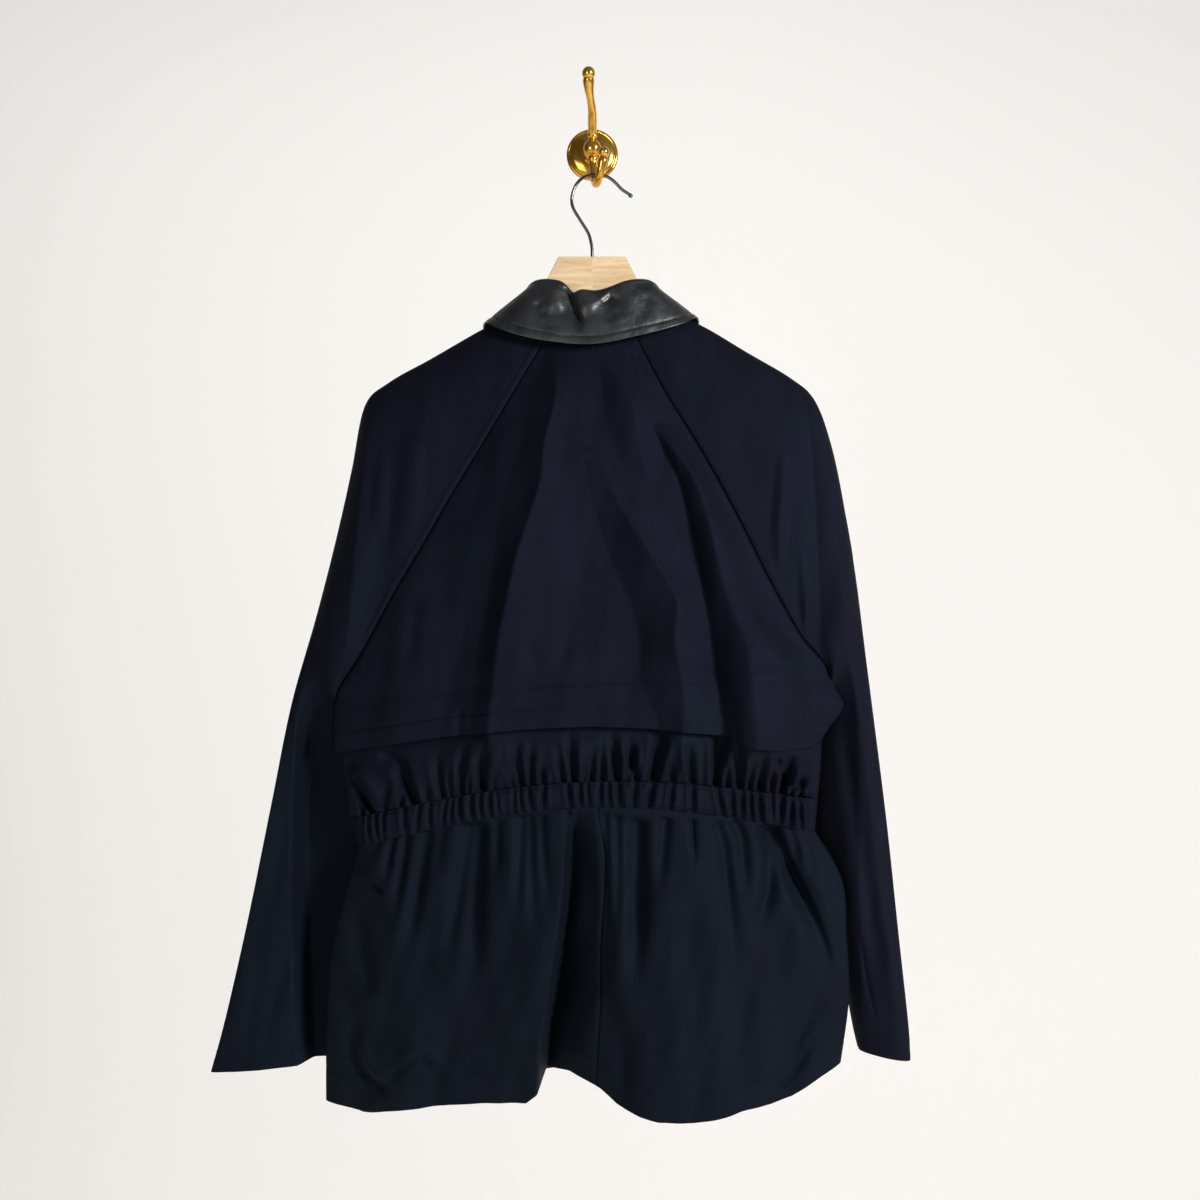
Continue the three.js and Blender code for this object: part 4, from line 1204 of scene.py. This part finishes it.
def metal(name, dark, light, rough, scale, metallic=1.0):
    """rough is how rough the metal is where it is tarnished, and where it is bright."""
    material, tree, shader = new_material(name)
    tarnish = noise(tree, object_place(tree), scale, 5.0, Roughness=0.6)
    finish(tree, shader, colour_between(tree, tarnish, dark, light, 0.32), ranged(tree, tarnish, rough),
           Metallic=metallic)
    bumps(tree, shader, (tarnish, 0.05, 0.0004))
    return material


def plain(name, colour, rough, specular, scale=400.0):
    material, tree, shader = new_material(name)
    speck = noise(tree, object_place(tree), scale, 3.0)
    finish(tree, shader, colour_between(tree, speck, colour, tuple(c * 1.35 for c in colour)), rough,
           Specular_IOR_Level=specular)
    bumps(tree, shader, (speck, 0.1, 0.0003))
    return material


UPPER_CLOTH = shell_cloth("shell_cloth", 0.12)
SLEEVE_CLOTH = shell_cloth("shell_cloth_sleeve", 0.12, 0.9)
WAIST_CLOTH = shell_cloth("shell_cloth_waist", 0.45)
LOWER_CLOTH = shell_cloth("shell_cloth_lower", 0.85)
LEATHER_BLACK = glossy_leather("collar_leather")
BEECH_LEFT = beech("beech_left", 0.05)
BEECH_RIGHT = beech("beech_right", 0.62)
BRASS = metal("polished_brass", (0.66, 0.31, 0.03), (0.92, 0.56, 0.12), (0.22, 0.10), 60.0, 0.86)
WIRE_STEEL = metal("dark_steel", (0.085, 0.095, 0.10), (0.20, 0.22, 0.23), (0.30, 0.18), 300.0)
THREAD = plain("thread", (0.0045, 0.0052, 0.009), 0.6, 0.12)
BUTTON_HORN = plain("button", (0.008, 0.008, 0.010), 0.28, 0.5, 120.0)

# ---------------------------------------------------------------- cloth pieces

def even(inset, count):
    """Places from one side of a piece to the other, a small inset from each."""
    return np.linspace(inset, 1 - inset, count)


def at_share(u, vs):
    """A line down a piece at one u."""
    return np.full_like(vs, u), vs


SLEEVES = (
    ("left", LEFT_SLEEVE_FOLDS, LEFT_SLEEVE_CREASES, 2, -1, SLEEVE_CLOTH),
    ("right", RIGHT_SLEEVE_FOLDS, RIGHT_SLEEVE_CREASES, 4, 1, UPPER_CLOTH),
)
for side, large, rough, seed, out, material in SLEEVES:
    sleeve = partial(sleeve_at, SLEEVE_ROWS[side], large, rough, seed)
    cloth(f"sleeve_{side}_cloth", (130, 232), sleeve, material, f"sleeve_{side}", flip=out < 0)
    topstitch(f"sleeve_{side}", sleeve, [
        at_band(sleeve, np.linspace(0.002, 0.60, 150), RAGLAN_STITCHES, 0, 0.25),
        at_height(sleeve, even(0.004, 220), CUFF_HEM, 0.9),
    ], out)

cloth("cape_cloth", (204, 176), cape_at, UPPER_CLOTH, "cape")
topstitch("cape", cape_at, [at_height(cape_at, even(0.004, 240), CAPE_HEM_WIDE - 1, 0.85)])


def finer_low(first, share):
    """Row spacing: that first part of the rows covers that share of the piece, and the rest lie finer."""
    return lambda v: np.where(v < first, v / first * share, share + (v - first) / (1 - first) * (1 - share))


cloth("back_cloth", (280, 100), back_panel_at, WAIST_CLOTH, "back", down=finer_low(0.35, 0.72))
cloth("waist_casing_cloth", (430, 14), casing_at, WAIST_CLOTH, "waist_casing")
around = even(0.003, 500)
topstitch("waist_casing", casing_at, [(around, np.full_like(around, v)) for v in CASING_THREADS])

HALF_SEAM = 0.045 / BACK_WIDE  # half of the gap between the skirt's halves, as a share of its width
SKIRT_TOP = 0.002
SKIRTS = (("left", 0.0, CENTRE_SEAM - HALF_SEAM, 0.987), ("right", CENTRE_SEAM + HALF_SEAM, 1.0, 0.013))


def skirt_half(first, last, u, v):
    return skirt_at(mix(first, last, u), mix(SKIRT_TOP, 1, v))


for side, first, last, beside_seam in SKIRTS:
    half = partial(skirt_half, first, last)
    cloth(f"skirt_{side}_cloth", (152, 136), half, LOWER_CLOTH, f"skirt_{side}")
    topstitch(f"skirt_{side}", half, [
        at_height(half, even(0.004, 200), SKIRT_HEM, 0.85),
        at_share(beside_seam, np.linspace(0.03, 0.985, 90)),
    ])

FRONTS = (("left", FRONT_LEFT_CREASES, 6, -1), ("right", FRONT_RIGHT_CREASES, 8, 1))
for side, rough, seed, out in FRONTS:
    sleeve = SLEEVE_ROWS[side]
    front = partial(front_at, front_rows(sleeve, side), sleeve, rough, seed)
    cloth(f"front_{side}_cloth", (60, 130), front, UPPER_CLOTH, f"front_{side}", flip=out < 0)
    topstitch(f"front_{side}", front, [
        at_band(front, np.linspace(0.01, 0.995, 200), FRONT_STITCHES, 1, 0.5),
        at_height(front, even(0.01, 110), FRONT_HEM, 0.9),
    ], out)

PLACKET_WIDE = 52
PLACKET_TOP = -254
PLACKET_END = -940
SOLID_CLOTH = 1.4  # how thick the solids' cloth is
PLACKET_ROOM = 0.5  # between the solid fronts and the placket, which lies on their side to the wall
PLACKET_DEPTH = FRONT_DEPTH - SOLID_CLOTH - PLACKET_ROOM


def placket_at(u, v):
    z = mix(PLACKET_TOP, PLACKET_END, v)
    sag = 0.25 * np.sin(z / 31.0) * np.sin(np.pi * u) + 0.2 * np.sin(z / 13.0 + 1)
    return (u - 0.5) * PLACKET_WIDE, z, PLACKET_DEPTH + sag * 0.7


cloth("placket_cloth", (12, 90), placket_at, UPPER_CLOTH, "placket", flip=True)
topstitch("placket", placket_at, [at_share(u, even(0.005, 220)) for u in (0.09, 0.91)], -1)

cloth("collar_leather_piece", (280, 62), collar_at, LEATHER_BLACK, "collar",
      thick=LEATHER, slot="collar_leather", side=1, down=finer_low(0.4, 0.5))


def collar_face(u, v):
    """The leather's outer face."""
    x, z, depth = collar_at(u, v)
    n = normal_at(collar_at, u, v) * LEATHER
    return x + n[..., 0], z + n[..., 2], depth - n[..., 1]


topstitch("collar", collar_face, [at_height(collar_face, even(0.004, 460), COLLAR_STRIP + 1.1, 0.6)],
          slot="collar_leather", radius=0.36)

# ---------------------------------------------------------------- buttons

BUTTON_RADIUS = 9.5
BUTTON_THICK = 3.0
BUTTON_TOP = -330
BUTTON_STEP = 130
BUTTON_COUNT = 5
BUTTON_ROOM = 0.4  # between the placket and a button
HOLE = 0.95  # a thread hole's radius
HOLE_OUT = 1.9  # how far from the button's middle it is, both ways
THREAD_RADIUS = 0.42
THREAD_CROWN = 0.7  # how far the threads stand out of a button's face where they cross, and at its holes
THREAD_FOOT = 0.1
BUTTON_RIM = (  # how far in from the edge, and how far from the middle of its thickness, back to face
    (1.2, -1.5), (0.3, -1.1), (0, 0), (0.3, 1.0), (1.1, 1.5), (2.1, 1.3), (3.1, 0.6),
)


def ring_of(bm, radius, y, count=64, centre=(0, 0)):
    verts = bmesh.ops.create_circle(bm, segments=count, radius=radius, cap_ends=False)["verts"]
    bmesh.ops.rotate(bm, verts=verts, cent=(0, 0, 0), matrix=Matrix.Rotation(math.pi / 2, 3, "X"))
    bmesh.ops.translate(bm, verts=verts, vec=(centre[0], y, centre[1]))
    return edges_of(verts)


def button(number):
    z = BUTTON_TOP - (number - 1) * BUTTON_STEP
    middle = -(PLACKET_DEPTH - BUTTON_ROOM - BUTTON_THICK / 2)
    bm = bmesh.new()
    loops = [ring_of(bm, BUTTON_RADIUS - inwards, middle + out) for inwards, out in BUTTON_RIM]
    for first, second in zip(loops, loops[1:]):
        bmesh.ops.bridge_loops(bm, edges=first + second)
    back, floor = middle + BUTTON_RIM[0][1], middle + BUTTON_RIM[-1][1]
    holes = [(sx * HOLE_OUT, sz * HOLE_OUT) for sx in (-1, 1) for sz in (-1, 1)]
    top, bottom = ([ring_of(bm, HOLE, y, 12, at) for at in holes] for y in (floor, back))
    bmesh.ops.triangle_fill(bm, use_beauty=True, edges=loops[-1] + sum(top, []))
    bmesh.ops.triangle_fill(bm, use_beauty=True, edges=loops[0] + sum(bottom, []))
    for first, second in zip(top, bottom):
        bmesh.ops.bridge_loops(bm, edges=first + second)
    bmesh.ops.recalc_face_normals(bm, faces=bm.faces)
    bmesh.ops.transform(bm, matrix=Matrix.Scale(MM, 4) @ Matrix.Translation((0, 0, z)), verts=bm.verts)
    made = mesh_object(f"button_{number}_horn", bm, BUTTON_HORN)
    made.data.set_sharp_from_angle(angle=math.radians(40))
    ride(made, "button", f"button_{number}")
    bm = bmesh.new()
    for a, b in ((holes[0], holes[3]), (holes[1], holes[2])):
        crown = Vector((0, floor + THREAD_CROWN, z))
        for end in (a, b):
            foot = Vector((end[0], floor + THREAD_FOOT, z + end[1]))
            run = crown - foot
            turn = run.to_track_quat("Z", "Y").to_matrix().to_4x4()
            bmesh.ops.create_cone(
                bm, cap_ends=True, segments=8, radius1=THREAD_RADIUS, radius2=THREAD_RADIUS,
                depth=run.length * 1.06,
                matrix=Matrix.Scale(MM, 4) @ Matrix.Translation((crown + foot) / 2) @ turn,
            )
    ride(mesh_object(f"button_{number}_thread", bm, THREAD), "shell_cloth")


for number in range(1, BUTTON_COUNT + 1):
    button(number)

# ---------------------------------------------------------------- hanger

HANGER_TOP = -116
HANGER_NECK = 34
HANGER_HALF = 206
HANGER_ROUND = 1.3  # how far its edges are rounded


def curve_through(start, control, end, steps=14):
    t = np.linspace(0, 1, steps + 1)[1:, None]
    start, control, end = map(np.array, (start, control, end))
    return ((1 - t) ** 2 * start + 2 * t * (1 - t) * control + t**2 * end).tolist()


def hanger_outline():
    half = HANGER_HALF
    points = [[SEAM_GAP, HANGER_TOP], [HANGER_NECK, HANGER_TOP], [62, -172]]
    curves = (
        ((66, -179), (76, -184)), ((150, -222), (half - 12, -254)), ((half, -262), (half - 4, -276)),
        ((half - 10, -284), (half - 24, -278)), ((90, -222), (SEAM_GAP, -205)),
    )
    for control, end in curves:
        points += curve_through(points[-1], control, end)
    return points


def hanger_half(side, name, material):
    bm = bmesh.new()
    back = -HANGER_DEPTH - HANGER_THICK / 2
    face = bm.faces.new([bm.verts.new((side * x * MM, back * MM, z * MM)) for x, z in hanger_outline()])
    made = bmesh.ops.extrude_face_region(bm, geom=[face])["geom"]
    bmesh.ops.translate(bm, verts=[v for v in made if isinstance(v, bmesh.types.BMVert)],
                        vec=(0, HANGER_THICK * MM, 0))
    bmesh.ops.recalc_face_normals(bm, faces=bm.faces)
    rims = [
        edge for edge in bm.edges
        if abs(edge.verts[0].co.y - edge.verts[1].co.y) < 1e-6
        and any(abs(vert.co.x) >= 0.5 * MM for vert in edge.verts)  # all but the joint between the halves
    ]
    bmesh.ops.bevel(bm, geom=rims, offset=HANGER_ROUND * MM, offset_type="OFFSET", segments=4, profile=0.5,
                    affect="EDGES", material=-1, clamp_overlap=True)
    obj = mesh_object(f"hanger_wood_{name}", bm, material)
    obj.data.set_sharp_from_angle(angle=math.radians(35))
    ride(obj, "beech", f"hanger_{name}")


hanger_half(-1, "left", BEECH_LEFT)
hanger_half(1, "right", BEECH_RIGHT)

WIRE = 1.6
HOOK_LOOP = (
    (0, -118), (0, -108), (-1.2, -100), (-4, -91), (-12, -78), (-19, -66), (-20.5, -56), (-17, -44),
    (-10, -36), (0, -32.4), (8, -32.4), (16, -34.6), (23, -39.8), (30, -47), (36.5, -51.4), (38.3, -52.8),
)
STEEL = (WIRE_STEEL, "dark_steel")
tube("hanger_wire", [(x, z, HANGER_DEPTH, WIRE) for x, z in HOOK_LOOP], *STEEL, "hanger_hook", 20, 12)
ball("hanger_wire_end", 38.9, -53.4, HANGER_DEPTH, 2.3, *STEEL, "hanger_hook_bead")

# ---------------------------------------------------------------- wall hook

PLATE = 26.7
PLATE_RIM = (  # how far in from the plate's edge, and the depth: a rim, a groove and the dome's foot
    (0.3, 0), (0, 0.4), (0, 1.6), (0.5, 2.4), (1.4, 3.2), (2.4, 3.3), (3.1, 2.5), (3.6, 2.7), (4.2, 3.9),
    (5.4, 4.7),
)
PLATE_DOME = ((18, 5.9), (13, 6.7), (9, 7.0), (0, 7.0))
BOSS = (
    (0, 7.2), (7.4, 7.2), (7.6, 8.2), (7, 9.2), (5.8, 9.8), (6.2, 10.6), (7.6, 12), (8.9, 14.4),
    (9.5, 17.4), (9.4, 20.2), (8.5, 23), (6.7, 25.6), (4.2, 27.3), (1.8, 27.9), (0, 28),
)
UPPER_ARM = (
    (0.1, 11.2, 19, 4.7), (0.1, 14.2, 21.5, 5.3), (0.1, 16, 23.5, 4.5), (0.3, 21, 29, 4.6),
    (0.3, 27, 36, 4.6), (-0.2, 32, 43, 4.1), (-1.2, 37, 49, 3.9), (-2.3, 42, 54, 4.3), (-3, 46.5, 57, 5),
    (-3.3, 51, 59.6, 5.7), (-3.4, 53.8, 61, 5.6),
)
LOWER_ARM = (
    (0.6, -9.6, 19, 5), (0.7, -11.4, 18.7, 5), (0.8, -13, 18.5, 4.1), (1, -18, 18.5, 4.1),
    (2, -29, 20, 4.1), (3.4, -37.6, 26, 4.3), (5, -39.8, 35, 4.3), (7.4, -35.5, 43.5, 4.1),
    (9.6, -28, 47, 4.4), (10.8, -22.4, 47.9, 4.9), (11.1, -20.6, 48, 4), (11.4, -18.8, 48.1, 3.6),
)
CAST = (BRASS, "polished_brass")
lathe("wall_plate_brass", [(0, 0), *((PLATE - inwards, out) for inwards, out in PLATE_RIM), *PLATE_DOME],
      *CAST, "wall_plate")
lathe("hook_boss_brass", BOSS, *CAST, "hook_boss")
tube("hook_upper_arm_brass", UPPER_ARM, *CAST, "hook_upper_arm")
tube("hook_lower_arm_brass", LOWER_ARM, *CAST, "hook_lower_arm")
ball("hook_upper_ball_brass", -3.3, 58.6, 61.5, 6.6, *CAST, "hook_upper_ball")
ball("hook_lower_ball_brass", 11.8, -14.4, 48.4, 5.6, *CAST, "hook_lower_ball")

# ---------------------------------------------------------------- floor, backdrop, light and camera

pale, pale_tree, pale_shader = new_material("backdrop")
finish(pale_tree, pale_shader, (0.80, 0.785, 0.765), 0.9, Specular_IOR_Level=0.1,
       Emission_Color=(1, 0.985, 0.965), Emission_Strength=0.25)
for name, place, turn in (("floor", (0, 0, -2.6), 0), ("backdrop", (0, 2.6, 0), math.pi / 2)):
    bm = bmesh.new()
    bmesh.ops.create_grid(bm, x_segments=1, y_segments=1, size=6.0)
    bmesh.ops.rotate(bm, verts=bm.verts, cent=(0, 0, 0), matrix=Matrix.Rotation(turn, 3, "X"))
    bmesh.ops.translate(bm, verts=bm.verts, vec=place)
    mesh_object(name, bm, pale, smooth=False)


def area_light(name, place, aim, size, power, colour=(1, 1, 1)):
    data = bpy.data.lights.new(name, "AREA")
    data.shape, data.size, data.size_y = "RECTANGLE", size[0], size[1]
    data.energy, data.color = power, colour
    lamp = bpy.data.objects.new(name, data)
    lamp.location = place
    lamp.rotation_euler = (Vector(aim) - Vector(place)).to_track_quat("-Z", "Y").to_euler()
    bpy.context.collection.objects.link(lamp)
    return data


JACKET_MIDDLE = (0, -0.05, -0.55)
area_light("key", (3.1, -2.9, 0.42), JACKET_MIDDLE, (1.0, 1.3), 204)
area_light("fill", (-1.6, -3.4, -0.5), JACKET_MIDDLE, (1.5, 1.5), 30, (1.0, 0.95, 0.88))
wash = area_light("backdrop_wash", (-0.9, 0.9, 2.6), (-0.9, 2.6, -0.6), (3.6, 1.0), 9)
wash.spread = math.radians(84)

world = bpy.data.worlds.new("studio")
world.use_nodes = True
sky = world.node_tree.nodes["Background"]
sky.inputs["Color"].default_value = (1.0, 0.94, 0.85, 1)
sky.inputs["Strength"].default_value = 0.06
bpy.context.scene.world = world
bpy.context.scene.view_settings.view_transform = "Standard"

camera_data = bpy.data.cameras.new("camera")
camera_data.lens = 36.45
camera_data.sensor_width = 36
camera = bpy.data.objects.new("camera", camera_data)
camera.location = (0.008, -1.262, -0.4617)
camera.rotation_euler = (math.pi / 2, 0, 0)
bpy.context.collection.objects.link(camera)
bpy.context.scene.camera = camera
